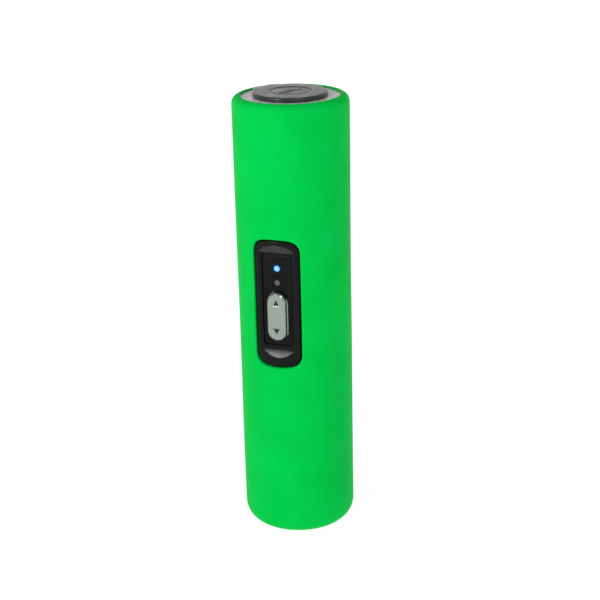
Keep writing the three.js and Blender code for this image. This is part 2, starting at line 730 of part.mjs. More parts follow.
// A stepped light pipe along Z: tail up, domed front face down at 0.
function lightLens(r) {
  const front = -Y.overlayFront + LIGHT.dome * 0.5;
  const depth = (y) => front + y;
  return turned(
    [
      [0, -LIGHT.dome],
      [r * 0.6, -LIGHT.dome * 0.7],
      [r, 0],
      [r, depth(LIGHT_COLLAR.front)],
      [LIGHT_COLLAR.r, depth(LIGHT_COLLAR.front)],
      [LIGHT_COLLAR.r, depth(Y.panelBack)],
      [LIGHT_TAIL.r, depth(Y.panelBack)],
      [LIGHT_TAIL.r, depth(LIGHT_TAIL.end)],
      [0, depth(LIGHT_TAIL.end)],
    ],
    CIRCLE.small,
  );
}

// ---- Circuit board ------------------------------------------------------------------------------

function mainBoard() {
  const outline = oblong(BOARD.halfWidth, BOARD.low, BOARD.high, BOARD.corner);
  for (const z of BOARD_SCREW.z) {
    for (const side of [-1, 1]) outline.holes.push(circleHole(side * BOARD_SCREW.x, z, BOARD_SCREW.holeR));
  }
  return slabY(outline, Y.boardFront, Y.boardBack, 4);
}

function switchBody(z) {
  const { halfWidth, halfHeight, boreR, boreDepth } = SWITCH;
  const body = box(-halfWidth, halfWidth, Y.switchFront, Y.partsFront, z - halfHeight, z + halfHeight);
  return cut(body, rodY(boreR, 0, z, Y.switchFront - 1, Y.switchFront + boreDepth));
}

const switchPlunger = (z) => rodY(SWITCH.plungerR, 0, z, Y.plungerTip, Y.plungerBack);

// Barrel jack lying along Y, with its mouth in the wall of the tube.
function chargeJack() {
  const { halfWidth, halfHeight, front, back, pinR, wall } = JACK_BODY;
  const body = box(-halfWidth, halfWidth, back, front, JACK.z - halfHeight, JACK.z + halfHeight);
  const nozzle = rodY(JACK.nozzleR, 0, JACK.z, front - 0.5, JACK.nozzleY);
  const mouth = rodY(JACK.holeR, 0, JACK.z, back + wall, JACK.nozzleY + 1);
  const pin = rodY(pinR, 0, JACK.z, back + wall / 2, front, CIRCLE.tiny);
  return joined(cut(joined(body, nozzle), mouth), pin);
}

// ---- Assembly -----------------------------------------------------------------------------------

function assembly(...meshes) {
  const group = new THREE.Group();
  group.add(...meshes);
  return group;
}

function housing() {
  return assembly(
    piece("silicone_sleeve", siliconeSleeve(), FINISH.silicone),
    piece("body_tube", bodyTube(), FINISH.aluminium),
    piece("top_plate", topPlate(), FINISH.deck),
    piece("top_cap", topCap(), FINISH.capRubber),
  );
}

function chamber() {
  const insulation = ring(INSULATION.innerR, INSULATION.r, INSULATION.low, INSULATION.high);
  const spacer = ring(HOLDER.centreR, OVEN.r, SPACER.low, SPACER.high);
  const group = assembly(
    piece("mouth_guide", mouthGuide(), FINISH.steel),
    piece("chamber_seal", toroid(CHAMBER_SEAL.ring, CHAMBER_SEAL.wireR, CHAMBER_SEAL.z), FINISH.seal),
    piece("oven_cup", ovenCup(), FINISH.steel),
    piece("heater_band", heaterBand(), FINISH.copper),
    piece("insulation_sleeve", insulation, FINISH.insulation),
    piece("ceramic_spacer", spacer, FINISH.ceramic),
    piece("chamber_holder", chamberHolder(), FINISH.blackPlastic),
    piece("temperature_sensor", temperatureSensor(), FINISH.copper),
  );
  const { headR, headHeight, shankR, length } = DECK_SCREW;
  const screwShape = screw(headR, headHeight, shankR, length);
  aroundAxis(PILLAR.count, PILLAR.ring, 90).forEach(([x, y], i) => {
    const deckScrew = piece(`deck_screw_${i + 1}`, screwShape, FINISH.steel);
    deckScrew.position.set(x, y, DECK_SCREW.z);
    group.add(deckScrew);
  });
  return group;
}

function power() {
  const cellTube = ring(CELL_TUBE.innerR, CELL_TUBE.r, CELL_TUBE.low, CELL_TUBE.high);
  return assembly(
    piece("battery_cell", batteryCell(), FINISH.cellWrap),
    piece("battery_sleeve", cellTube, FINISH.cellTube),
    piece("cell_bulkhead", cellBulkhead(), FINISH.blackPlastic),
    piece("positive_contact", positiveContact(), FINISH.copper),
    piece("base_ring", baseRing(), FINISH.aluminium),
    piece("battery_cap", batteryCap(), FINISH.aluminium),
    piece("cap_seal", toroid(CAP_SEAL.ring, CAP_SEAL.wireR, CAP_SEAL.z), FINISH.seal),
    piece("contact_spring", wire(new ConeHelix(), SPRING.wireR, 12 * SPRING.turns), FINISH.steel),
  );
}

function panel() {
  const group = assembly(
    piece("control_panel", controlPanel(), FINISH.panelPlastic),
    piece("panel_overlay", panelOverlay(), FINISH.overlayPlastic),
    piece("rocker", rocker(), FINISH.rockerMetal),
    piece("rocker_retainer", rockerRetainer(), FINISH.steel),
  );
  const lenses = [
    ["power_light_lens", LIGHT.power, LIGHT.powerR, FINISH.blueLight],
    ["heat_light_lens", LIGHT.heat, LIGHT.heatR, FINISH.greyLens],
  ];
  for (const [name, z, r, material] of lenses) {
    const lens = piece(name, lightLens(r), material);
    lens.rotation.x = -Math.PI / 2;
    lens.position.set(0, Y.overlayFront - LIGHT.dome * 0.5, z);
    group.add(lens);
  }
  const { headR, headHeight, shankR, depth } = RETAINER_SCREW;
  const screwShape = screw(headR, headHeight, shankR, depth);
  RETAINER_SCREW.z.forEach((z, row) => {
    [-1, 1].forEach((side, column) => {
      const small = piece(`retainer_screw_${2 * row + column + 1}`, screwShape, FINISH.steel);
      small.rotation.x = Math.PI / 2;
      small.position.set(side * RETAINER_SCREW.x, Y.retainerBack + headHeight + 0.05, z);
      group.add(small);
    });
  });
  return group;
}

// A board component between two depths.
const component = ({ halfWidth, x0 = -halfWidth, x1 = halfWidth, low, high }, y0, y1) =>
  box(x0, x1, y0, y1, low, high);

function electronics() {
  const group = assembly(
    piece("main_board", mainBoard(), FINISH.board),
    piece("controller_chip", component(CHIP, Y.partsBack, CHIP.back), FINISH.blackPlastic),
    piece("inductor", component(INDUCTOR, Y.partsBack, INDUCTOR.back), FINISH.blackPlastic),
    piece("power_mosfet", component(MOSFET, MOSFET.front, Y.partsFront), FINISH.blackPlastic),
    piece("charge_jack", chargeJack(), FINISH.blackPlastic),
  );
  for (const [name, z] of [["power_led", LIGHT.power], ["heat_led", LIGHT.heat]]) {
    const body = { halfWidth: LED.halfWidth, low: z - LED.halfHeight, high: z + LED.halfHeight };
    group.add(piece(name, component(body, LED.front, Y.partsFront), FINISH.whitePlastic));
  }
  for (const [name, side] of [["upper", 1], ["lower", -1]]) {
    const z = ROCKER.z + side * ROCKER.footOffset;
    group.add(piece(`${name}_switch_body`, switchBody(z), FINISH.steel));
    group.add(piece(`${name}_switch_plunger`, switchPlunger(z), FINISH.blackPlastic));
  }
  const { headR, headHeight, shankR, length } = BOARD_SCREW;
  const screwShape = screw(headR, headHeight, shankR, length);
  BOARD_SCREW.z.forEach((z, row) => {
    [-1, 1].forEach((side, column) => {
      const small = piece(`board_screw_${2 * row + column + 1}`, screwShape, FINISH.steel);
      small.rotation.x = -Math.PI / 2;
      small.position.set(side * BOARD_SCREW.x, Y.boardFront - headHeight - 0.05, z);
      group.add(small);
    });
  });
  return group;
}

function wiring() {
  const group = assembly(
    piece("cell_positive_lead", lead(CELL_POSITIVE_ROUTE, LEAD_R.cell, 10), FINISH.redWire),
    piece("cell_negative_lead", lead(CELL_NEGATIVE_ROUTE, LEAD_R.cell, 20), FINISH.blackWire),
  );
  const mirrored = (route, side) => route.map(([x, y, z]) => [side * x, y, z]);
  [-1, 1].forEach((side, i) => {
    const color = side < 0 ? FINISH.blackWire : FINISH.redWire;
    const heaterLead = lead(mirrored(HEATER_ROUTE, side), HEATER_LEAD.r, 10);
    group.add(piece(`heater_lead_${i + 1}`, heaterLead, FINISH.whitePlastic));
    group.add(piece(`jack_lead_${i + 1}`, lead(mirrored(JACK_ROUTE, side), LEAD_R.jack, 10), color));
  });
  return group;
}

const vaporizer = new THREE.Group();
vaporizer.name = "pocket_vaporizer";
vaporizer.add(housing(), chamber(), power(), panel(), electronics(), wiring());

export default vaporizer;
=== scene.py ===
"""Looks of a pocket vaporizer in a silicone sleeve, built in Blender 4.5 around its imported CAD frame.

Metres, +Z up, origin at the centre of the base, control panel facing -Y. Lengths in the tables below are in
millimetres and are scaled by MM where a mesh is made.
"""
import json
import math

import bmesh
import bpy
from mathutils import Matrix, Vector


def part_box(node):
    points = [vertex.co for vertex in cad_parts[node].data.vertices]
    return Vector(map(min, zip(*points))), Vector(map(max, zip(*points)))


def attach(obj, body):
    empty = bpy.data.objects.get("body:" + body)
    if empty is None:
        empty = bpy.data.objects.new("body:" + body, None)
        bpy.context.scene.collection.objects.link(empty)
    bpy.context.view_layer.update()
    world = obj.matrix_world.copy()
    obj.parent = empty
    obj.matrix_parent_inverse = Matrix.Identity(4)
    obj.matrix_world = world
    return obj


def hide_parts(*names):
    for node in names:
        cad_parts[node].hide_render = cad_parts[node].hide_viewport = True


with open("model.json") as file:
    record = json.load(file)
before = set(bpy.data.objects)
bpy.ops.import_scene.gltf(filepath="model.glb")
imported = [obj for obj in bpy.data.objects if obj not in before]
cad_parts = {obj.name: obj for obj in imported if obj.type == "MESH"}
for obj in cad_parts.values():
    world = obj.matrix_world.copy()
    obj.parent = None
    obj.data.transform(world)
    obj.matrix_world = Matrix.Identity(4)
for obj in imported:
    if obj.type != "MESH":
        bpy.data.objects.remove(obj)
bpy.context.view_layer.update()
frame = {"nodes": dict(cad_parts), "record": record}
MM = 0.001


def span(node):
    """Lowest and highest corner of a CAD node, in millimetres."""
    low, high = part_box(node)
    return low / MM, high / MM


# ---- Outlines and profiles ----


def rounded(corners, steps=4, closed=False):
    """A polyline through (a, b, fillet) corners. A corner that has a fillet becomes a small curve."""
    made = []
    count = len(corners)
    for i, (a, b, *fillet) in enumerate(corners):
        here = Vector((a, b))
        radius = fillet[0] if fillet else 0
        if not radius or (not closed and i in (0, count - 1)):
            made.append((a, b))
            continue
        back = Vector(corners[i - 1][:2]) - here
        ahead = Vector(corners[(i + 1) % count][:2]) - here
        start = here + back.normalized() * min(radius, back.length * 0.48)
        end = here + ahead.normalized() * min(radius, ahead.length * 0.48)
        for k in range(steps + 1):
            t = k / steps
            point = start * (1 - t) ** 2 + here * 2 * t * (1 - t) + end * t**2
            made.append(tuple(point))
    return made


def rectangle(w, h, corner, steps=4):
    """A rounded rectangle from its half width and half height."""
    return rounded([(-w, -h, corner), (w, -h, corner), (w, h, corner), (-w, h, corner)], steps, closed=True)


def resampled(points, shares):
    """Points of a closed outline at the given shares of its length, counted from its first point."""
    loop = [Vector(p) for p in points]
    loop.append(loop[0])
    lengths = [0.0]
    for a, b in zip(loop, loop[1:]):
        lengths.append(lengths[-1] + (b - a).length)
    made, k = [], 0
    for share in shares:
        want = share * lengths[-1]
        while k < len(loop) - 2 and lengths[k + 1] < want:
            k += 1
        step = lengths[k + 1] - lengths[k]
        t = 0 if step == 0 else (want - lengths[k]) / step
        made.append(loop[k].lerp(loop[k + 1], t))
    return made


def even(count):
    return [i / count for i in range(count)]


def turns(count):
    """Angles that share out one turn."""
    return [2 * math.pi * i / count for i in range(count)]


def arc_points(centre, radius, start, end, steps):
    """Points of an arc between two angles in degrees."""
    angles = [math.radians(start + (end - start) * i / steps) for i in range(steps + 1)]
    return [(centre[0] + radius * math.cos(a), centre[1] + radius * math.sin(a)) for a in angles]


def oblong(half_width, low, high, corner, crown=0.0, steps=12):
    """A rounded oblong in x and z whose ends bow by crown.

    It starts at the middle of its low end and runs towards +x.
    """
    side = half_width - corner
    share = side / half_width
    bow, drop = crown * share**2, crown * (2 * share - share**2)

    def quadratic(a, control, b):
        for i in range(steps):
            t = i / steps
            yield tuple(a[k] * (1 - t) ** 2 + control[k] * 2 * t * (1 - t) + b[k] * t**2 for k in (0, 1))

    def end_arc(z, sign):
        """From the middle of an end to its +x corner's end."""
        shoulder, foot = z + sign * bow, z + sign * drop
        yield from quadratic((0, z), (side / 2, z), (side, shoulder))
        yield from quadratic((side, shoulder), (half_width, foot), (half_width, foot + sign * corner))
        yield half_width, foot + sign * corner

    lower = list(end_arc(low, 1))
    upper = list(end_arc(high, -1))
    right = lower + upper[::-1]
    left = [(-x, z) for x, z in right[::-1]]
    return right + left[1:-1]


def stadium(half_width, half_length, z, steps=24):
    """A slot with half-round ends, centred on z, from the middle of its low end towards +x."""
    reach = half_length - half_width
    quarter = steps // 2
    lower = arc_points((0, z - reach), half_width, -90, 0, quarter)
    upper = arc_points((0, z + reach), half_width, 0, 180, steps)
    last = arc_points((0, z - reach), half_width, 180, 270, quarter)
    return lower + upper + last[:-1]


# ---- Meshes ----

SHARP = math.radians(38)
CARVED_SHARP = math.radians(15)
AXIS_R = 0.02


def shade(mesh, sharp):
    """Smooth faces, with an edge wherever two of them meet at more than the sharp angle."""
    mesh.shade_smooth()
    mesh.set_sharp_from_angle(angle=sharp)


def from_bmesh(name, bm, sharp=SHARP):
    bmesh.ops.recalc_face_normals(bm, faces=bm.faces)
    mesh = bpy.data.meshes.new(name)
    bm.to_mesh(mesh)
    bm.free()
    mesh.update()
    shade(mesh, sharp)
    piece = bpy.data.objects.new(name, mesh)
    bpy.context.scene.collection.objects.link(piece)
    return piece


def bridge(bm, a, b):
    """Quads between two rings of vertices."""
    for i in range(len(a)):
        j = (i + 1) % len(a)
        bm.faces.new((a[i], a[j], b[j], b[i]))


def add_loops(bm, loops, closed=False):
    """Quads between loops of points in millimetres. A closed set joins its last loop to its first."""
    rings = [[bm.verts.new(Vector(p) * MM) for p in loop] for loop in loops]
    for a, b in zip(rings, rings[1:]):
        bridge(bm, a, b)
    if closed:
        bridge(bm, rings[-1], rings[0])
        return
    for ring in (rings[0], rings[-1]):
        middle = bm.verts.new(sum((v.co for v in ring), Vector()) / len(ring))
        for i in range(len(ring)):
            bm.faces.new((ring[i], ring[(i + 1) % len(ring)], middle))


def lofted(name, loops, closed=False):
    bm = bmesh.new()
    add_loops(bm, loops, closed)
    return from_bmesh(name, bm)


def circle(r, z, segments):
    """A ring of points round the Z axis. One on the axis is kept a hair wide."""
    r = max(r, AXIS_R)
    return [(r * math.cos(a), r * math.sin(a), z) for a in turns(segments)]


def add_turned(bm, corners, closed=False, segments=128):
    """A turned solid from (radius, z, fillet) corners. An open profile starts and ends near the axis."""
    add_loops(bm, [circle(r, z, segments) for r, z in rounded(corners, closed=closed)], closed)


def turned(name, corners, closed=False, segments=128):
    bm = bmesh.new()
    add_turned(bm, corners, closed, segments)
    return from_bmesh(name, bm)


def along_y(points, centre):
    """A turned profile's points, with its axis laid along +Y through centre."""
    return [(centre[0] + x, centre[1] + z, centre[2] + y) for x, y, z in points]


def turned_along_y(name, corners, centre, segments):
    """A turned solid whose axis runs along +Y: the profile's height is measured from centre."""
    return lofted(name, [along_y(circle(r, h, segments), centre) for r, h in rounded(corners)])


# ---- Materials ----


def linear(*rgb):
    """A colour from 0 to 255 as shader values."""
    made = [c / 12.92 if c <= 0.04045 else ((c + 0.055) / 1.055) ** 2.4 for c in (v / 255 for v in rgb)]
    return (*made, 1.0)


class Finish:
    """A principled material whose colour, roughness and bump come from layers of noise in object space."""

    def __init__(self, name, color, roughness, metallic=0.0, **constants):
        self.material = bpy.data.materials.new(name)
        self.material.use_nodes = True
        self.nodes = self.material.node_tree.nodes
        self.links = self.material.node_tree.links
        self.shader = self.nodes["Principled BSDF"]
        self.place = self.nodes.new("ShaderNodeTexCoord").outputs["Object"]
        self.shader.inputs["Metallic"].default_value = metallic
        self.shader.inputs["Base Color"].default_value = color
        self.shader.inputs["Roughness"].default_value = roughness
        for socket, value in constants.items():
            self.shader.inputs[socket.replace("_", " ")].default_value = value
        self.color, self.roughness = color, roughness
        self.last_bump = None

    def noise(self, size, detail=4.0, stretch=(1, 1, 1)):
        """Noise whose features are about size metres across."""
        texture = self.nodes.new("ShaderNodeTexNoise")
        texture.inputs["Scale"].default_value = 1 / size
        texture.inputs["Detail"].default_value = detail
        mapping = self.nodes.new("ShaderNodeMapping")
        mapping.inputs["Scale"].default_value = stretch
        self.links.new(self.place, mapping.inputs["Vector"])
        self.links.new(mapping.outputs["Vector"], texture.inputs["Vector"])
        return texture.outputs["Fac"]

    def ranged(self, fac, low, high, start=0.3, end=0.7):
        """fac from start to end, as a value from low to high."""
        node = self.nodes.new("ShaderNodeMapRange")
        node.inputs["From Min"].default_value = start
        node.inputs["From Max"].default_value = end
        node.inputs["To Min"].default_value = low
        node.inputs["To Max"].default_value = high
        self.links.new(fac, node.inputs["Value"])
        return node.outputs["Result"]

    def mottled(self, fac, dark, light, start=0.3, end=0.7):
        """The base colour runs from dark to light with fac."""
        ramp = self.nodes.new("ShaderNodeValToRGB")
        ramp.color_ramp.elements[0].position = start
        ramp.color_ramp.elements[0].color = dark
        ramp.color_ramp.elements[1].position = end
        ramp.color_ramp.elements[1].color = light
        self.links.new(fac, ramp.inputs["Fac"])
        self.links.new(ramp.outputs["Color"], self.shader.inputs["Base Color"])
        return self

    def glowing(self, centre, near, far, inner, outer, strength):
        """Light from the surface, running from inner to outer between two distances from a point."""
        distance = self.nodes.new("ShaderNodeVectorMath")
        distance.operation = "DISTANCE"
        distance.inputs[1].default_value = centre
        self.links.new(self.place, distance.inputs[0])
        glow = self.nodes.new("ShaderNodeValToRGB")
        glow.color_ramp.elements[0].color, glow.color_ramp.elements[1].color = inner, outer
        self.links.new(self.ranged(distance.outputs["Value"], 0, 1, near, far), glow.inputs["Fac"])
        self.links.new(glow.outputs["Color"], self.shader.inputs["Emission Color"])
        self.shader.inputs["Emission Strength"].default_value = strength
        return self

    def tinted(self, fac, depth):
        """The base colour made darker and lighter by a share of depth."""
        dark = tuple(c * (1 - depth) for c in self.color[:3]) + (1,)
        light = tuple(min(1, c * (1 + depth)) for c in self.color[:3]) + (1,)
        return self.mottled(fac, dark, light)

    def worn(self, fac, spread):
        """Roughness that varies by spread to each side."""
        rough = self.ranged(fac, max(0.02, self.roughness - spread), min(1, self.roughness + spread))
        self.links.new(rough, self.shader.inputs["Roughness"])
        return self

    def bumped(self, fac, height):
        """A bump of that height in metres, on top of any before it."""
        bump = self.nodes.new("ShaderNodeBump")
        bump.inputs["Distance"].default_value = height
        bump.inputs["Strength"].default_value = 1.0
        self.links.new(fac, bump.inputs["Height"])
        if self.last_bump:
            self.links.new(self.last_bump, bump.inputs["Normal"])
        self.last_bump = bump.outputs["Normal"]
        self.links.new(self.last_bump, self.shader.inputs["Normal"])
        return self


def simple(name, color, roughness, metallic, size, tint, bump, stretch):
    """Blotches that tint the colour, and a fine grain that varies the roughness and gives a bump."""
    made = Finish(name, linear(*color), roughness, metallic)
    grain = made.noise(size, stretch=(1, 1, stretch))
    blotch = made.noise(size * 9)
    return made.tinted(blotch, tint).worn(grain, 0.08).bumped(grain, bump).material


def silicone():
    """Matt silicone: an even deep colour, faint handling marks and a fine mould texture."""
    made = Finish(
        "silicone_green",
        linear(0, 190, 70),
        0.5,
        Subsurface_Weight=0.12,
        Subsurface_Radius=(0.3, 1.0, 0.35),
        Subsurface_Scale=0.0012,
        Specular_IOR_Level=0.015,
    )
    marks = made.noise(0.011, detail=6)
    skin = made.noise(0.00035, detail=3)
    made.mottled(marks, linear(0, 184, 66), linear(0, 194, 74))
    made.worn(made.noise(0.004, detail=5), 0.05)
    return made.bumped(skin, 5e-6).bumped(made.noise(0.0045, detail=2), 2.5e-5).material


def deck_metal():
    """Bead-blasted silver deck."""
    made = Finish("deck_metal", linear(235, 240, 236), 0.42, 0.4)
    grain = made.noise(0.00045, detail=5)
    made.mottled(grain, linear(160, 166, 160), linear(255, 255, 253), 0.4, 0.58)
    return made.worn(made.noise(0.003), 0.08).bumped(grain, 3e-5).material


def cap_rubber():
    """Black moulded rubber, a little dusty."""
    made = Finish("cap_rubber", linear(36, 41, 38), 0.25, Specular_IOR_Level=0.5)
    dust = made.noise(0.0022, detail=7)
    made.mottled(dust, linear(33, 38, 34), linear(42, 48, 43))
    return made.worn(dust, 0.09).bumped(made.noise(0.0003), 8e-6).material


def panel_plastic():
    """Black moulded plastic with a satin spark-eroded skin."""
    made = Finish("panel_plastic", linear(6, 7, 8), 0.2, Specular_IOR_Level=0.14)
    skin = made.noise(0.00018, detail=2)
    made.mottled(made.noise(0.003), linear(4, 5, 6), linear(9, 10, 11))
    return made.worn(made.noise(0.0016, detail=5), 0.05).bumped(skin, 4e-6).material


def overlay_plastic():
    """Darker, smoother plate inside the panel, with faint smears, and a painted blue glow round the power
    light.
    """
    made = Finish("overlay_plastic", linear(7, 8, 9), 0.3, Specular_IOR_Level=0.1)
    smears = made.noise(0.0025, detail=6, stretch=(1, 1, 0.4))
    made.mottled(smears, linear(6, 7, 8), linear(12, 13, 14))
    # Painted glow: the plate gives off blue light round the power light's lens, though it is no lamp.
    made.glowing(lens_front("power_light_lens"), 0.0008, 0.0015, linear(0, 70, 150), (0, 0, 0, 1), 0.2)
    return made.worn(smears, 0.08).bumped(made.noise(0.00022, detail=2), 2e-6).material


def rocker_metal():
    """Satin metallic paint over plastic, with a fine fleck."""
    made = Finish("rocker_metal", linear(142, 153, 145), 0.28, 0.85)
    fleck = made.noise(0.00012, detail=2)
    made.mottled(fleck, linear(132, 143, 135), linear(153, 164, 156))
    return made.worn(made.noise(0.0012, detail=4), 0.05).bumped(fleck, 1e-6).material


def lens_front(node):
    """The middle of a lens's front, in metres."""
    low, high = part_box(node)
    return ((low.x + high.x) / 2, low.y, (low.z + high.z) / 2)


def blue_light():
    """A lit blue lens, whiter at its middle."""
    made = Finish("blue_light", linear(40, 110, 220), 0.2)
    middle, rim = linear(150, 222, 255), linear(20, 90, 190)
    made.glowing(lens_front("power_light_lens"), 0.0003, 0.00085, middle, rim, 1.0)
    return made.worn(made.noise(0.0004), 0.05).material


# The simple finishes: colour, roughness, metal, grain size, tint, bump, and the grain's stretch along Z.
PLAIN_FINISHES = {
    "anodised_aluminium": ((185, 188, 190), 0.32, 0.9, 0.0006, 0.08, 6e-6, 0.05),
    "grey_lens": ((74, 81, 83), 0.25, 0.0, 0.0004, 0.1, 3e-6, 1),
    "steel": ((176, 178, 180), 0.3, 0.95, 0.0005, 0.1, 6e-6, 0.15),
    "ceramic": ((236, 231, 220), 0.55, 0.0, 0.0009, 0.06, 1.2e-5, 1),
    "insulation": ((217, 211, 196), 0.9, 0.0, 0.0005, 0.15, 6e-5, 0.3),
    "seal_rubber": ((194, 72, 47), 0.5, 0.0, 0.0006, 0.12, 8e-6, 1),
    "board_laminate": ((31, 90, 55), 0.35, 0.0, 0.0007, 0.25, 1.5e-5, 0.3),
    "black_plastic": ((26, 27, 29), 0.5, 0.0, 0.0004, 0.2, 8e-6, 1),
    "white_plastic": ((231, 231, 226), 0.4, 0.0, 0.0006, 0.05, 6e-6, 1),
    "cell_wrap": ((53, 102, 168), 0.3, 0.0, 0.003, 0.1, 1.5e-5, 0.3),
    "cell_tube": ((216, 212, 200), 0.75, 0.0, 0.0012, 0.08, 2e-5, 0.3),
    "red_wire": ((179, 38, 30), 0.4, 0.0, 0.0007, 0.12, 6e-6, 1),
    "black_wire": ((28, 28, 29), 0.4, 0.0, 0.0007, 0.2, 6e-6, 1),
    "copper": ((196, 130, 70), 0.32, 0.9, 0.0006, 0.15, 8e-6, 0.2),
}


def all_materials():
    made = {
        "silicone_green": silicone(),
        "deck_metal": deck_metal(),
        "cap_rubber": cap_rubber(),
        "panel_plastic": panel_plastic(),
        "overlay_plastic": overlay_plastic(),
        "rocker_metal": rocker_metal(),
        "blue_light": blue_light(),
    }
    for name, recipe in PLAIN_FINISHES.items():
        made[name] = simple(name, *recipe)
    return made


MATERIALS = all_materials()
NODE_SLOT = {s["node"]: s["material_slot"] for s in frame["record"]["subparts"]}
NODE_BODY = {n: b for b, members in frame["record"]["behaviour"]["bodies"].items() for n in members}


def stands_for(piece, node):
    """The piece takes the node's material, slot and body, and the node isn't shown."""
    piece.data.materials.clear()
    piece.data.materials.append(MATERIALS[NODE_SLOT[node]])
    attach(piece, NODE_BODY[node])
    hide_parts(node)


# ---- Sleeve ----

WINDOW = {"half_width": 6.45, "low": 50.5, "high": 86.5, "corner": 3.4, "crown": 0.8}
PORT_R = 4.2


def window_outline(inset):
    half_width, corner = WINDOW["half_width"] - inset, WINDOW["corner"] - inset
    return oblong(half_width, WINDOW["low"] + inset, WINDOW["high"] - inset, corner, WINDOW["crown"])


class SleeveSkin:
    """A closed skin of quads round the sleeve's wall, with the window and the rear port worked into it.

    Both walls are a grid of rows and columns. A patch of cells is left out round each opening, and loops
    fill it from the patch's edge in to the opening's outline.
    """

    COLUMNS = 120
    R, INNER_R = 15.47, 13.8
    TOP_FILLET = 2.0
    BEAD_R, BEAD_LOW = 13.2, 121.5
    WALL_LOW, WALL_HIGH = 4.2, 119.4
    WINDOW_PATCH = {"half_columns": 12, "low": 44.0, "high": 93.0}
    PORT_PATCH = {"half_columns": 8, "reach": 7.5}
    RIM_FILLET, RIM_LIFT = 0.55, 0.1
    INNER_RIM, INNER_SETBACK = 0.12, 0.15

    def __init__(self):
        self.bm = bmesh.new()
        self.step = 2 * math.pi / self.COLUMNS
        self.height = span("silicone_sleeve")[1].z
        self.port_z = (span("charge_jack")[0].z + span("charge_jack")[1].z) / 2
        self.heights = self.wall_rows()
        self.rows = self.profile()

    def wall_rows(self):
        """Heights of the rows on both walls, closer together near the ends of the window."""
        low, high = self.WINDOW_PATCH["low"], self.WINDOW_PATCH["high"]
        below, beside, above = 14, 30, 10
        window = []
        for i in range(beside + 1):
            share = i / beside
            eased = (1 - math.cos(math.pi * share)) / 2
            window.append(low + (high - low) * (0.35 * share + 0.65 * eased))
        base = [self.WALL_LOW + (low - self.WALL_LOW) * i / below for i in range(below)]
        top = [high + (self.WALL_HIGH - high) * i / above for i in range(1, above + 1)]
        return base + window + top

    def level(self, z):
        """The wall row nearest to a height."""
        return min(range(len(self.heights)), key=lambda i: abs(self.heights[i] - z))

    def swell(self, angle, z):
        """Soft unevenness of the stretched skin, in millimetres."""
        wave = 0.035 * math.sin(2 * angle + z / 17) + 0.03 * math.sin(3 * angle - z / 9.5)
        return wave * min(1, max(0, (self.height - z) / 4)) * min(1, z / 6)

    def profile(self):
        """The rows of the skin as (radius, z, wall), going up the outside and down the inside."""
        outside = [(self.R, z, "outer") for z in self.heights]
        fillet = self.TOP_FILLET
        crest = arc_points((self.R - fillet, self.height - fillet), fillet, 0, 88, 7)
        bead = [
            crest[-1],
            (self.BEAD_R, self.height, 0.12),
            (self.BEAD_R, self.BEAD_LOW, 0.1),
            (self.INNER_R, self.BEAD_LOW, 0.2),
            (self.INNER_R, self.WALL_HIGH),
        ]
        crest += rounded(bead, 3)[1:-1]
        inside = [(self.INNER_R, z, "inner") for z in self.heights[::-1]]
        foot = [
            (self.INNER_R, self.WALL_LOW),
            (self.INNER_R, 1.6, 0.8),
            (10.9, 1.6, 0.3),
            (10.9, 0.0, 0.45),
            (12.2, 0.0, 0.3),
            (13.6, 0.35, 0.8),
            (15.05, 1.85, 1.1),
            (self.R, 3.7, 0.7),
            (self.R, self.WALL_LOW),
        ]
        base = rounded(foot)[1:-1]
        return outside + [(r, z, None) for r, z in crest] + inside + [(r, z, None) for r, z in base]

    def at(self, r, angle, z):
        reach = r + self.swell(angle, z)
        return self.bm.verts.new(Vector((reach * math.cos(angle), reach * math.sin(angle), z)) * MM)

    def patch(self, column, half_columns, low, high):
        """First and last column, and first and last wall row, of the cells round an opening."""
        return column - half_columns, column + half_columns, self.level(low), self.level(high)

    def build(self):
        window, port = self.WINDOW_PATCH, self.PORT_PATCH
        front = self.patch(self.COLUMNS * 3 // 4, window["half_columns"], window["low"], window["high"])
        low, high = self.port_z - port["reach"], self.port_z + port["reach"]
        rear = self.patch(self.COLUMNS // 4, port["half_columns"], low, high)
        patches = (front, rear)
        rows, count = self.rows, len(self.rows)

        def inside_patch(wall, z, j):
            level = self.level(z)
            return wall and any(c0 < j < c1 and r0 < level < r1 for c0, c1, r0, r1 in patches)

        def cell_open(i, j):
            """A cell that lies in a patch, so that it gets no face of its own."""
            a, b = rows[i], rows[(i + 1) % count]
            if a[2] is None or a[2] != b[2]:
                return False
            first, last = sorted((self.level(a[1]), self.level(b[1])))
            return any(c0 <= j < c1 and r0 <= first and last <= r1 for c0, c1, r0, r1 in patches)

        grid = {}
        walls = {"outer": {}, "inner": {}}
        for i, (r, z, wall) in enumerate(rows):
            if wall:
                walls[wall][self.level(z)] = i
            for j in range(self.COLUMNS):
                if not inside_patch(wall, z, j):
                    grid[i, j] = self.at(r, j * self.step, z)
        for i in range(count):
            for j in range(self.COLUMNS):
                if cell_open(i, j):
                    continue
                a, b = (i + 1) % count, (j + 1) % self.COLUMNS
                self.bm.faces.new((grid[i, j], grid[i, b], grid[a, b], grid[a, j]))
        self.fill(front, grid, walls, lambda offset: window_outline(-offset))
        self.fill(rear, grid, walls, self.port_outline)
        return from_bmesh("sleeve_skin", self.bm, math.radians(60))

    def port_outline(self, offset):
        return arc_points((0, self.port_z), PORT_R + offset, -90, 270, 96)[:-1]

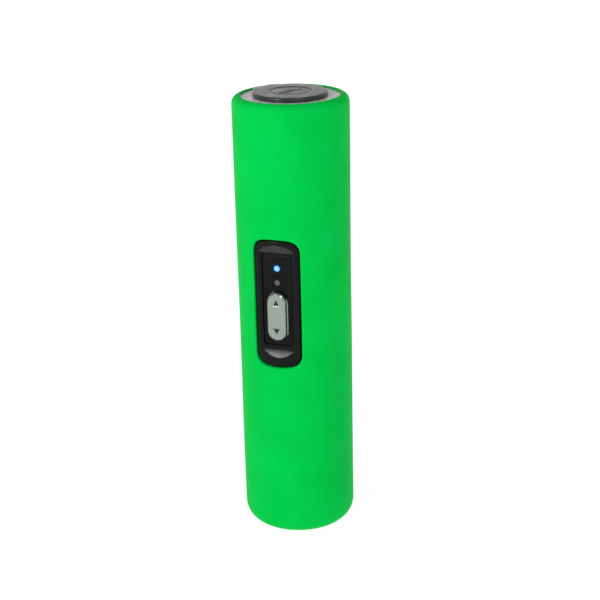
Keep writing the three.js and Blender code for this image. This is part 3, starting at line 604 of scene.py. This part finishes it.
    def fill(self, patch, grid, walls, outline):
        """Loops from a patch's edge on each wall in to the opening, and round the opening's rim."""
        c0, c1, r0, r1 = patch
        middle = (c0 + c1) // 2
        edge = [(middle + k, r0) for k in range(c1 - middle)]
        edge += [(c1, level) for level in range(r0, r1)]
        edge += [(column, r1) for column in range(c1, c0, -1)]
        edge += [(c0, level) for level in range(r1, r0, -1)]
        edge += [(column, r0) for column in range(c0, middle)]
        flat = [((column - middle) * self.step * self.R, self.heights[level]) for column, level in edge]
        lengths = [0.0]
        for a, b in zip(flat, flat[1:] + flat[:1]):
            lengths.append(lengths[-1] + math.dist(a, b))
        shares = [length / lengths[-1] for length in lengths[:-1]]
        centre_angle = middle * self.step

        def on_wall(r, offset):
            """The opening's outline, grown by offset, as seen from outside on the cylinder of radius r."""
            goal = resampled(outline(offset), shares)
            return [self.at(r, centre_angle + math.asin(x / r), z) for x, z in goal]

        def spread(r, outer_ring, offset, count, lift):
            """Loops from the patch's edge to the outline, and the outline's own loop last."""
            target = resampled(outline(offset), shares)
            rings = [outer_ring]
            for k in range(1, count + 1):
                t = k / count
                ring = []
                for (u, z), goal in zip(flat, target):
                    start_angle = centre_angle + u / self.R
                    goal_angle = centre_angle + math.asin(goal[0] / r)
                    angle = start_angle + (goal_angle - start_angle) * t
                    ring.append(self.at(r + lift * t**4, angle, z + (goal[1] - z) * t))
                rings.append(ring)
            return rings

        fillet, steps = self.RIM_FILLET, 5
        outer_edge = [grid[walls["outer"][level], column % self.COLUMNS] for column, level in edge]
        inner_edge = [grid[walls["inner"][level], column % self.COLUMNS] for column, level in edge]
        outer = spread(self.R, outer_edge, fillet, 5, self.RIM_LIFT)
        inner = spread(self.INNER_R, inner_edge, self.INNER_RIM, 3, 0.0)
        rim = [outer[-1]]
        for k in range(1, steps + 1):
            turn = math.radians(90 * k / steps)
            r = self.R + self.RIM_LIFT - fillet * (1 - math.cos(turn))
            rim.append(on_wall(r, fillet * (1 - math.sin(turn))))
        rim += [on_wall(self.INNER_R + self.INNER_SETBACK, 0), inner[-1]]
        for rings in (outer, inner, rim):
            for a, b in zip(rings, rings[1:]):
                bridge(self.bm, a, b)


def make_sleeve():
    piece = SleeveSkin().build()
    detail = piece.modifiers.new("detail", "SUBSURF")
    detail.levels = detail.render_levels = 1
    stands_for(piece, "silicone_sleeve")


# ---- Control panel ----

# Heights are above the base. Depths, such as flat, floor, plate, back and top, are distances from the axis.
PANEL = {"r": 15.0, "inner_r": 13.85, "flat": 14.1, "flat_low": 55.7, "flat_high": 82.7}
SCOOP = {"low": 53.2, "high": 84.9, "half_width": 5.2}
PLUG = {"half_width": 4.9, "low": 52.3, "high": 84.7, "corner": 0.5, "back": 12.45}
RECESS = {"half_width": 4.2, "low": 56.6, "high": 82.1, "corner": 1.0, "floor": 13.4, "plate": 13.85}
ROCKER = {
    "z": 65.1,
    "half_width": 2.55,
    "half_length": 6.6,
    "flange": 0.35,
    "flange_end": 0.05,
    "flange_tuck": 0.25,
    "gap": 0.14,
    "top": 15.45,
    "back": 12.8,
    "fillet": 0.45,
}
ARROW = {"offset": 4.05, "half_width": 0.82, "height": 1.55, "depth": 0.15, "flare": 0.03}
NOTCH = {"half_width": 1.02, "height": 0.3, "depth": 0.14}
PIVOT = {"y": -12.9, "r": 0.4, "half_length": 3.6}
FOOT = {"offset": 4.2, "r": 0.8, "height": 0.95, "tip": -12.0}
LOOP = 176  # points in each loop of the panel and the button


def scoop_rise(share):
    """A scoop's slope, a little steeper towards its end."""
    return share * (0.82 + 0.18 * share)


def blend(share):
    """A share kept between 0 and 1."""
    return max(0.0, min(1.0, share))


def panel_depth(x, z):
    """How far the panel's front stands from the axis: a round face cut by a flat with two scoops."""
    face = math.sqrt(PANEL["r"] ** 2 - x * x)
    flat = PANEL["flat"]
    rise = PANEL["r"] - flat
    if z < PANEL["flat_low"]:
        flat += rise * scoop_rise((PANEL["flat_low"] - z) / (PANEL["flat_low"] - SCOOP["low"]))
    elif z > PANEL["flat_high"]:
        flat += rise * scoop_rise((z - PANEL["flat_high"]) / (SCOOP["high"] - PANEL["flat_high"]))
    softness = 0.05
    mix = blend(0.5 + 0.5 * (face - flat) / softness)
    return face * (1 - mix) + flat * mix - softness * mix * (1 - mix)


def recess_outline(inset):
    c = RECESS
    return oblong(c["half_width"] - inset, c["low"] + inset, c["high"] - inset, max(0.2, c["corner"] - inset))


def rocker_outline(grow, flanged=0):
    """The button's outline, grown. Flanged, it takes in the flange along its sides."""
    wide, long = flanged * ROCKER["flange"], flanged * ROCKER["flange_end"]
    return stadium(ROCKER["half_width"] + wide + grow, ROCKER["half_length"] + long + grow, ROCKER["z"])


def loop_at(outline, depth):
    """An outline's points at a depth, which is a number or a function of x and z."""
    reach = depth if callable(depth) else lambda x, z: depth
    return [(x, -reach(x, z), z) for x, z in resampled(outline, even(LOOP))]


def between(outer, inner, count, depth):
    """Loops that run evenly from one outline in to another, without the two themselves."""
    a, b = resampled(outer, even(LOOP)), resampled(inner, even(LOOP))
    made = []
    for k in range(1, count):
        ring = [p.lerp(q, k / count) for p, q in zip(a, b)]
        made.append([(x, -depth(x, z), z) for x, z in ring])
    return made


def fillet_loops(outline, inset, drop, depth, steps=4):
    """Loops over a rounded edge, from drop below the surface to inset from the edge."""
    made = []
    for k in range(steps + 1):
        turn = math.radians(90 * k / steps)
        ring = resampled(outline(inset * (1 - math.cos(turn))), even(LOOP))
        made.append([(x, -(depth(x, z) - drop * (1 - math.sin(turn))), z) for x, z in ring])
    return made


def make_panel_frame():
    def back(x, z):
        return math.sqrt(PANEL["inner_r"] ** 2 - x * x)

    edge_gap, edge, lip = 0.3, 0.4, 0.12
    hole = rocker_outline(ROCKER["gap"], 1)
    plug = oblong(PLUG["half_width"], PLUG["low"], PLUG["high"], PLUG["corner"])
    loops = [loop_at(window_outline(edge_gap), back)]
    loops += fillet_loops(lambda inset: window_outline(edge_gap + inset), edge, edge, panel_depth)
    loops += between(window_outline(edge_gap + edge), recess_outline(-lip), 22, panel_depth)
    loops += [loop_at(recess_outline(-lip), panel_depth)]
    loops += [loop_at(recess_outline(-lip / 4), lambda x, z: panel_depth(x, z) - lip / 4)]
    loops += [loop_at(recess_outline(0), lambda x, z: panel_depth(x, z) - lip)]
    loops += [loop_at(recess_outline(0), RECESS["floor"]), loop_at(hole, RECESS["floor"])]
    loops += [loop_at(hole, PLUG["back"]), loop_at(plug, PLUG["back"]), loop_at(plug, back)]
    piece = lofted("panel_frame", loops, closed=True)
    stands_for(piece, "control_panel")
    piece.data.materials.append(scoop_painted_reflection())
    # Faces of the upper scoop get the lighter material, a painted reflection of the floor.
    for face in piece.data.polygons:
        if in_upper_scoop(face.center / MM, face.normal):
            face.material_index = 1


def in_upper_scoop(place, normal):
    """Whether a face belongs to the slope above the panel's flat."""
    sloped = normal.z < -0.2 and place.y < -PANEL["flat"]
    return sloped and place.z > PANEL["flat_high"] and abs(place.x) < SCOOP["half_width"]


def scoop_painted_reflection():
    """The panel's plastic painted lighter in its upper scoop: a painted reflection of the floor on that
    downward-facing slope, with faint mottling.
    """
    made = Finish("scoop_painted_reflection", linear(48, 50, 49), 0.35, Specular_IOR_Level=0.15)
    made.mottled(made.noise(0.003), linear(44, 44, 43), linear(54, 57, 55))
    return made.bumped(made.noise(0.00018, detail=2), 4e-6).material


def make_panel_plate():
    front, back = RECESS["plate"], 13.6
    gap, edge = 0.15, 0.07
    hole = rocker_outline(ROCKER["gap"], 1)
    hole_edge = rocker_outline(ROCKER["gap"] + edge, 1)
    loops = [loop_at(recess_outline(gap), back), loop_at(recess_outline(gap), front - edge)]
    loops += [loop_at(recess_outline(gap + 0.3 * edge), front - 0.3 * edge)]
    loops += [loop_at(recess_outline(gap + edge), front)]
    loops += between(recess_outline(gap + edge), hole_edge, 4, lambda x, z: front)
    loops += [loop_at(hole_edge, front), loop_at(hole, front - edge), loop_at(hole, back)]
    stands_for(lofted("panel_plate", loops, closed=True), "panel_overlay")


def apply_modifiers(piece):
    graph = bpy.context.evaluated_depsgraph_get()
    mesh = bpy.data.meshes.new_from_object(piece.evaluated_get(graph))
    old = piece.data
    piece.modifiers.clear()
    piece.data = mesh
    bpy.data.meshes.remove(old)


def carved(piece, *cutters):
    """Takes the cutters out of a piece, and removes them."""
    for cutter in cutters:
        cut = piece.modifiers.new("cut", "BOOLEAN")
        cut.object, cut.solver, cut.operation = cutter, "EXACT", "DIFFERENCE"
    apply_modifiers(piece)
    for cutter in cutters:
        bpy.data.objects.remove(cutter)
    shade(piece.data, CARVED_SHARP)
    return piece


def arrow_foot(direction):
    """Height of an arrow's base, where its notch starts."""
    return ROCKER["z"] + direction * (ARROW["offset"] - ARROW["height"] / 2)


def arrow_cutter(direction):
    """A flat-floored triangular pit, pointing up or down the rocker."""
    foot = arrow_foot(direction)

    def triangle(y, grow):
        half, tip = ARROW["half_width"] + grow, foot + direction * (ARROW["height"] + 2 * grow)
        return [(0, y, tip), (-half, y, foot - direction * grow), (half, y, foot - direction * grow)]

    top = -ROCKER["top"]
    return lofted("arrow_cutter", [triangle(top - 0.1, ARROW["flare"]), triangle(top + ARROW["depth"], 0)])


def notch_cutter(direction):
    """A fingernail notch at an arrow's base: a ramp that runs from the button's face down to the arrow."""
    foot, top = arrow_foot(direction), -ROCKER["top"]
    floor, ramp = top + NOTCH["depth"], NOTCH["height"] / NOTCH["depth"]
    proud, lean = 0.1, 0.04
    section = [
        (floor, foot),
        (top - proud, foot + direction * lean),
        (top - proud, foot - direction * (NOTCH["height"] + proud * ramp)),
    ]
    half = NOTCH["half_width"]
    return lofted("notch_cutter", [[(x, y, z) for y, z in section] for x in (-half, half)])


def print_and_shade_paint():
    """Dark grey paint in the rocker's arrows, and painted shade on its side wall and on the flange round its
    tips.
    """
    made = Finish("arrow_print_and_skirt_shade", linear(36, 41, 38), 0.65, Specular_IOR_Level=0.2)
    return made.tinted(made.noise(0.0003), 0.2).material


def flange_outline(grow):
    """The flange's outline: proud of the button along its sides, and tucked under its round ends."""
    half_width = ROCKER["half_width"] + ROCKER["flange"] + grow
    return stadium(half_width, ROCKER["half_length"] - ROCKER["flange_tuck"] + grow, ROCKER["z"])


def rocker_crown(x, z):
    """Depth of the button's face, with a faint crown across and along it."""
    across, along = x / ROCKER["half_width"], (z - ROCKER["z"]) / ROCKER["half_length"]
    return ROCKER["top"] - 0.05 * across**2 - 0.06 * along**2


def rocker_edge():
    """Loops over the button's edge: a fillet, which turns into a flat bevel round the upper end."""
    made = []
    bevel, bevel_start, steps = 0.36, 3.4, 6
    inset = ROCKER["fillet"]
    fillets = fillet_loops(lambda grow: rocker_outline(-grow), inset, inset * 0.8, rocker_crown, steps)
    for k, fillet in enumerate(fillets):
        share = k / steps
        outline = resampled(rocker_outline(-bevel * share), even(LOOP))
        ring = []
        for round_point, (x, z) in zip(fillet, outline):
            flat_point = (x, -(rocker_crown(x, z) - bevel * (1 - share)), z)
            mix = blend(z - ROCKER["z"] - bevel_start)
            ring.append(tuple(Vector(round_point).lerp(Vector(flat_point), mix)))
        made.append(ring)
    return made


def make_rocker():
    back = ROCKER["back"]
    foot = ((-2.4, back), (-0.1, back), (0, back + 0.1), (0, 13.9))
    loops = [loop_at(rocker_outline(grow), depth) for grow, depth in foot]
    for grow, depth in ((-0.04, 13.92), (0, 13.98), (0, 14.14), (-0.04, 14.2)):
        loops.append(loop_at(flange_outline(grow), depth))
    loops.append(loop_at(rocker_outline(0), 14.24))
    loops += rocker_edge()
    loops += [loop_at(rocker_outline(-inset), rocker_crown) for inset in (0.8, 1.15, 1.55, 1.95, 2.35)]
    cutters = [cutter(direction) for cutter in (notch_cutter, arrow_cutter) for direction in (1, -1)]
    piece = carved(lofted("rocker_button", loops), *cutters)
    add_feet_and_pins(piece.data)
    stands_for(piece, "rocker")
    piece.data.materials.append(print_and_shade_paint())
    # Arrow pits take the dark print; the side wall and the flange round the tips take the same dark grey as
    # painted shade.
    for face in piece.data.polygons:
        if in_arrow(face.center / MM) or in_painted_skirt_shade(face.center / MM, face.normal):
            face.material_index = 1


def add_feet_and_pins(mesh):
    """Adds the pivot pin and a foot over each switch to the carved button."""
    bm = bmesh.new()
    bm.from_mesh(mesh)
    r, root = FOOT["r"], -FOOT["height"]
    foot = [circle(*corner, 32) for corner in rounded([(0.05, 0), (r, 0, 0.2), (r, root), (0.05, root)])]
    for side in (-1, 1):
        height = ROCKER["z"] + side * FOOT["offset"]
        add_loops(bm, [[(x, FOOT["tip"] + z, height - y) for x, y, z in loop] for loop in foot])
    round_pin = [(PIVOT["r"] * math.sin(a), PIVOT["r"] * math.cos(a)) for a in turns(24)]
    ends = (-PIVOT["half_length"], PIVOT["half_length"])
    add_loops(bm, [[(x, PIVOT["y"] + y, ROCKER["z"] + z) for y, z in round_pin] for x in ends])
    bmesh.ops.recalc_face_normals(bm, faces=bm.faces)
    bm.to_mesh(mesh)
    bm.free()
    shade(mesh, CARVED_SHARP)


def in_painted_skirt_shade(place, normal):
    """Whether a face belongs to the button's side wall, or to the flange round its tips: the faces that get
    painted shade.
    """
    front, back, tip_length = -15.05, -14.3, 1.6
    wall = front < place.y < back and abs(normal.y) < 0.5 and math.hypot(normal.x, normal.z) > 0.8
    tip = abs(place.z - ROCKER["z"]) > ROCKER["half_length"] - tip_length
    return wall and not near_arrow(place) or (tip and place.y > back)


def near_arrow(place):
    """Whether a place is beside an arrow or its notch."""
    across, along = 1.2, 1.6
    return abs(place.x) < across and abs(abs(place.z - ROCKER["z"]) - ARROW["offset"]) < along


def in_arrow(place):
    """Whether a face's middle lies in an arrow pit, below the button's face and clear of the ramp."""
    up = place.z > ROCKER["z"]
    rise = (place.z - arrow_foot(1)) if up else (arrow_foot(-1) - place.z)
    sunk = -15.2 > place.y > 0.05 - ROCKER["top"]
    inside = -0.02 < rise < ARROW["height"] + 0.1 and abs(place.x) < ARROW["half_width"] + 0.05
    return sunk and inside


def make_lens(name, node, r):
    """A domed lens with a collar behind the panel and a tail that takes in its light."""
    low, high = span(node)
    setback, bulge = 0.12, 0.16
    centre = (0, low.y + setback, (low.z + high.z) / 2)
    dome = [(r * math.sin(a), -bulge * math.cos(a)) for a in (0.02, 0.3, 0.6, 0.9, 1.2, 1.5)]
    collar = [(r, 1.1), (1.2, 1.11, 0.05), (1.2, 1.4, 0.05)]
    tail = [(0.7, 1.41), (0.7, 2.25, 0.1), (0.02, 2.28)]
    stands_for(turned_along_y(name, dome + collar + tail, centre, segments=48), node)


def make_panel():
    make_panel_frame()
    make_panel_plate()
    make_rocker()
    make_lens("power_lens", "power_light_lens", 0.85)
    make_lens("heat_lens", "heat_light_lens", 0.75)


# ---- Top ----


def make_deck():
    """The plate round the mouth, with a spigot and three screw pillars under it."""
    low, high = span("top_plate")
    thickness, spigot, pillars_at = 1.7, 2.5, 11.0
    plate = high.z - thickness
    corners = [
        (7.2, plate, 0.15),
        (10.2, plate),
        (10.2, plate - spigot, 0.15),
        (12.3, plate - spigot, 0.3),
        (12.3, plate),
        (13.55, plate, 0.1),
        (13.55, high.z, 0.22),
        (7.2, high.z, 0.3),
    ]
    bm = bmesh.new()
    add_turned(bm, corners, closed=True, segments=160)
    pillar = rounded([(0.8, low.z), (1.15, low.z, 0.1), (1.15, plate), (0.8, plate)], closed=True)
    for k in range(3):
        angle = math.radians(90 + 120 * k)
        centre = Vector((pillars_at * math.cos(angle), pillars_at * math.sin(angle), 0))
        add_loops(bm, [[Vector(p) + centre for p in circle(r, z, 32)] for r, z in pillar], closed=True)
    stands_for(from_bmesh("deck", bm), "top_plate")


CAP = {"r": 9.9, "under": 1.15, "fillet": 0.45, "sunk": 0.07, "points": 256}
TAB = {"reach": 10.8, "half_width": 3.0, "corner": 0.3, "angle": math.radians(155)}
RIB = {"half_width": 0.2, "spacing": 0.75, "half_lengths": (3.4, 4.2, 3.4)}


def cap_outline():
    """The cap's rim with its pull tab, as a closed outline, from the side away from the tab."""
    r, half, reach = CAP["r"], TAB["half_width"], TAB["reach"]
    tangent = math.degrees(math.atan2(half, reach) + math.acos(r / math.hypot(half, reach)))
    corners = arc_points((0, 0), r, tangent, 360 - tangent, 90)
    corners += [(reach, -half, TAB["corner"]), (reach, half, TAB["corner"])]
    turn = Matrix.Rotation(TAB["angle"], 2)
    return [turn @ Vector(p) for p in rounded(corners, 6, closed=True)]


def make_cap():
    """The rim with its ring groove and ribs, and the ridged plug under it."""
    low, high = span("top_cap")
    top, under = high.z, high.z - CAP["under"]
    sunk, groove, fillet = top - CAP["sunk"], top - 0.22, CAP["fillet"]
    rim = resampled(cap_outline(), even(CAP["points"]))

    def rings(*places):
        return [[(p.x / p.length * r, p.y / p.length * r, z) for p in rim] for r, z in places]

    def edge(inset, z):
        return [(p.x * (1 - inset / p.length), p.y * (1 - inset / p.length), z) for p in rim]

    loops = rings((0.05, sunk), (2.5, sunk), (5.1, sunk), (5.2, sunk - 0.02), (5.26, groove), (5.42, groove))
    loops += rings((5.5, top - 0.03), (5.6, top), (7.0, top), (8.4, top - 0.01))
    for k in range(6):
        turn = math.radians(90 * k / 5)
        loops.append(edge(fillet * (1 - math.sin(turn)), top - fillet * (1 - math.cos(turn))))
    loops += [edge(0, under + 0.2), edge(0.04, under + 0.06), edge(0.2, under)]
    loops += rings((7.1, under), (6.9, under - 0.15), (6.85, 118.3), (6.98, 118.0), (7.05, 117.7))
    loops += rings((6.98, 117.4), (6.85, 117.1), (6.85, 115.4), (6.7, 114.9), (6.35, low.z))
    loops += rings((5.5, low.z), (5.2, low.z + 0.2), (5.2, 118.3), (4.9, 118.6), (0.05, 118.6))
    bm = bmesh.new()
    add_loops(bm, loops)
    for k, half_length in enumerate(RIB["half_lengths"]):
        add_rib(bm, (k - 1) * RIB["spacing"], half_length, sunk, top)
    stands_for(from_bmesh("cap", bm), "top_cap")


def add_rib(bm, offset, half_length, base, top):
    """A round-topped grip rib on the cap, across the tab's direction."""
    turn = Matrix.Rotation(TAB["angle"], 2)

    def outline(grow, z):
        points = stadium(RIB["half_width"] + grow, half_length + grow, 0, 12)
        return [(*(turn @ Vector((offset + a, b))), z) for a, b in points]

    section = ((0.03, base - 0.1), (0.03, base + 0.02), (-0.03, top - 0.04), (-0.12, top))
    add_loops(bm, [outline(grow, z) for grow, z in section])


# ---- Base and charging port ----

BATTERY_CAP = {"r": 10.5, "thread_root": 10.0, "thread_low": 3.9, "pitch": 2.0}
COIN_SLOT = {"half_length": 7, "half_width": 1, "corner": 0.95, "depth": 1.1}


def make_battery_cap():
    low, high = span("battery_cap")
    r = BATTERY_CAP["r"]
    corners = [
        (0, low.z),
        (8.6, low.z),
        (8.75, low.z + 0.12),
        (9.0, low.z + 0.12),
        (9.15, low.z),
        (r, low.z, 0.35),
        (r, 1.7, 0.08),
        (9.9, 1.7, 0.08),
        (9.9, 2.7, 0.08),
        (r, 2.7, 0.1),
        (r, 3.1, 0.1),
        (10.05, 3.3),
        (10.05, high.z, 0.3),
        (8.3, high.z, 0.2),
        (8.3, 3.0, 0.5),
        (0, 3.0),
    ]
    bm = bmesh.new()
    add_turned(bm, corners, segments=160)
    add_thread(bm, BATTERY_CAP["thread_root"], r, BATTERY_CAP["thread_low"], high.z - 0.6)
    piece = carved(from_bmesh("screw_cap", bm), coin_slot_cutter(low.z))
    stands_for(piece, "battery_cap")


def coin_slot_cutter(face):
    """A rounded slot that flares at the cap's outer face."""
    outline = rectangle(COIN_SLOT["half_length"], COIN_SLOT["half_width"], COIN_SLOT["corner"], 6)
    depth = COIN_SLOT["depth"]
    section = ((0.35, -0.3), (0.12, 0), (0, 0.15), (0, depth), (-0.15, depth + 0.1))
    loops = []
    for grow, z in section:
        loops.append([(x + math.copysign(grow, x), y + math.copysign(grow, y), face + z) for x, y in outline])
    return lofted("slot_cutter", loops)


def add_thread(bm, root, crest, low, high):
    """A right-hand helical ridge, tapering into the wall at both ends."""
    steps, fade_steps = 72, 12
    sunk, foot, land = root - 0.15, 0.55, 0.12
    count = int(steps * (high - low) / BATTERY_CAP["pitch"])
    rings = []
    for i in range(count + 1):
        angle = 2 * math.pi * i / steps
        z = low + (high - low) * i / count
        reach = root + (crest - root) * min(1, i / fade_steps, (count - i) / fade_steps)
        section = [(sunk, z - foot), (reach, z - land), (reach, z + land), (sunk, z + foot)]
        rings.append([(r * math.cos(angle), r * math.sin(angle), h) for r, h in section])
    add_loops(bm, rings)


def make_base():
    low, high = span("base_ring")
    corners = [
        (10.95, low.z, 0.1),
        (13.6, low.z, 0.2),
        (13.6, 3.2, 0.2),
        (12.4, 3.2),
        (12.4, high.z, 0.3),
        (10.2, high.z, 0.2),
        (10.2, 8.7),
        (10.75, 8.7),
        (10.75, 3.2),
    ]
    stands_for(turned("threaded_ring", corners, closed=True, segments=160), "base_ring")


JACK = {"bore_r": 1.75, "rim_r": 2.9, "front": 13.4, "shoulder": 11.5, "half_width": 3.2, "half_height": 2.9}


def make_jack():
    """Moulded barrel jack with a metal pin, seen at the bottom of the sleeve's rear hole."""
    low, high = span("charge_jack")
    centre = (0, 0, (low.z + high.z) / 2)
    bore_r, rim_r, front, shoulder = JACK["bore_r"], JACK["rim_r"], JACK["front"], JACK["shoulder"]
    nozzle = [(bore_r, front, 0.12), (rim_r, front, 0.25), (rim_r, shoulder), (bore_r, shoulder)]
    bm = bmesh.new()
    add_loops(bm, [along_y(circle(r, h, 64), centre) for r, h in rounded(nozzle, closed=True)], closed=True)
    body = rectangle(JACK["half_width"], JACK["half_height"], 0.3)
    sides = [(0.2, 4.6), (0.0, 4.8), (0.0, 11.5), (0.2, 11.7)]
    add_loops(bm, [[(x * (1 - i / 3), y, centre[2] + z * (1 - i / 3)) for x, z in body] for i, y in sides])
    bore = [along_y(circle(bore_r, h, 64), centre) for h in (6.1, 12.0)]
    piece = carved(from_bmesh("port", bm), lofted("bore_cutter", bore))
    stands_for(piece, "charge_jack")
    make_port_pin(centre)


def make_port_pin(centre):
    pin = rounded([(0.02, 5.8), (0.5, 5.8), (0.5, 11.9, 0.3), (0.02, 12.0)], 5)
    piece = turned_along_y("port_pin", pin, centre, segments=32)
    piece.data.materials.append(MATERIALS["steel"])
    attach(piece, NODE_BODY["charge_jack"])


# ---- Chamber ----


def make_chamber():
    """The turned pieces that show down the mouth when the cap is off."""
    low, high = span("mouth_guide")
    guide = [
        (5.9, low.z, 0.1),
        (9.0, low.z, 0.2),
        (9.0, high.z, 0.2),
        (7.2, high.z, 0.35),
        (7.2, 107.4, 0.2),
        (5.9, 107.4, 0.3),
    ]
    stands_for(turned("mouth_tube", guide, closed=True), "mouth_guide")
    low, high = span("oven_cup")
    floor = low.z + 1.2
    cup = [(0, low.z), (6.9, low.z, 0.5), (6.9, high.z, 0.15), (5.8, high.z, 0.3)]
    cup += [(5.8, floor, 0.6), (0, floor)]
    stands_for(turned("oven", cup), "oven_cup")


make_sleeve()
make_panel()
make_deck()
make_cap()
make_base()
make_battery_cap()
make_jack()
make_chamber()

# ---- Camera, light and floor ----

VIEW = {"azimuth": 19.5, "elevation": 20.77, "roll": 1.33, "distance": 0.373, "lens": 81.0}
AIM_HEIGHT = 0.060
AIM_OFFSET = (0.0013, 0.0043)


def make_camera():
    """The photo's camera: aimed a little off the object's middle, and rolled a little."""
    azimuth, elevation = math.radians(VIEW["azimuth"]), math.radians(VIEW["elevation"])
    level = math.cos(elevation)
    back = Vector((math.sin(azimuth) * level, -math.cos(azimuth) * level, math.sin(elevation)))
    right = Vector((math.cos(azimuth), math.sin(azimuth), 0))
    up = back.cross(right)
    place = Vector((0, 0, AIM_HEIGHT)) + back * VIEW["distance"]
    aim = Vector((0, 0, AIM_HEIGHT)) + right * AIM_OFFSET[0] + up * AIM_OFFSET[1]
    back = (place - aim).normalized()
    right = Vector((0, 0, 1)).cross(back).normalized()
    up = back.cross(right)
    roll = math.radians(VIEW["roll"])
    rolled_right = right * math.cos(roll) - up * math.sin(roll)
    rolled_up = up * math.cos(roll) + right * math.sin(roll)
    data = bpy.data.cameras.new("camera")
    data.sensor_width, data.lens = 36.0, VIEW["lens"]
    data.clip_start, data.clip_end = 0.01, 20
    camera = bpy.data.objects.new("camera", data)
    turn = Matrix((rolled_right, rolled_up, back)).transposed().to_4x4()
    camera.matrix_world = Matrix.Translation(place) @ turn
    bpy.context.scene.collection.objects.link(camera)
    bpy.context.scene.camera = camera


def area_light(name, place, side, power):
    """A square light in metres and watts, aimed at the object's middle."""
    data = bpy.data.lights.new(name, "AREA")
    data.shape, data.size, data.size_y = "RECTANGLE", side, side
    data.energy = power
    light = bpy.data.objects.new(name, data)
    light.location = place
    light.rotation_mode = "QUATERNION"
    light.rotation_quaternion = (Vector(place) - Vector((0, 0, AIM_HEIGHT))).to_track_quat("Z", "Y")
    bpy.context.scene.collection.objects.link(light)


def make_world():
    """A soft white dome, brighter towards the horizon."""
    world = bpy.data.worlds.new("studio")
    world.use_nodes = True
    nodes, links = world.node_tree.nodes, world.node_tree.links
    place = nodes.new("ShaderNodeTexCoord").outputs["Generated"]
    split = nodes.new("ShaderNodeSeparateXYZ")
    dome = nodes.new("ShaderNodeMapRange")
    for socket, value in (("From Min", 0.0), ("From Max", 0.7), ("To Min", 1.0), ("To Max", 0.2)):
        dome.inputs[socket].default_value = value
    links.new(place, split.inputs["Vector"])
    links.new(split.outputs["Z"], dome.inputs["Value"])
    links.new(dome.outputs["Result"], nodes["Background"].inputs["Strength"])
    nodes["Background"].inputs["Color"].default_value = (1, 1, 1, 1)
    bpy.context.scene.world = world


def make_floor():
    """Plain white paper that glows softly, so that it runs into the background."""
    reach = 4.0
    corners = ((-reach, -reach, 0), (reach, -reach, 0), (reach, reach, 0), (-reach, reach, 0))
    bm = bmesh.new()
    bm.faces.new([bm.verts.new(corner) for corner in corners])
    floor = from_bmesh("floor", bm)
    paper = Finish("paper", linear(140, 140, 140), 0.8)
    paper.mottled(paper.noise(0.05), linear(138, 138, 138), linear(142, 142, 142))
    paper.glowing((0, 0, 0), 0.1, 0.7, (0.88, 0.88, 0.88, 1), (1, 1, 1, 1), 1.0)
    floor.data.materials.append(paper.material)


def make_studio():
    bpy.context.scene.view_settings.view_transform = "Standard"
    make_world()
    make_floor()
    area_light("key", (-0.26, -0.73, 0.30), 0.11, 1.5)
    area_light("overhead", (-0.30, -0.42, 0.58), 0.45, 1.3)
    area_light("rim", (0.322, -0.329, 0.585), 0.23, 0.9)


make_camera()
make_studio()

# Each CAD node gets the material of its slot, for those that are still shown.
for name, node in frame["nodes"].items():
    node.data.materials.clear()
    node.data.materials.append(MATERIALS[NODE_SLOT[name]])
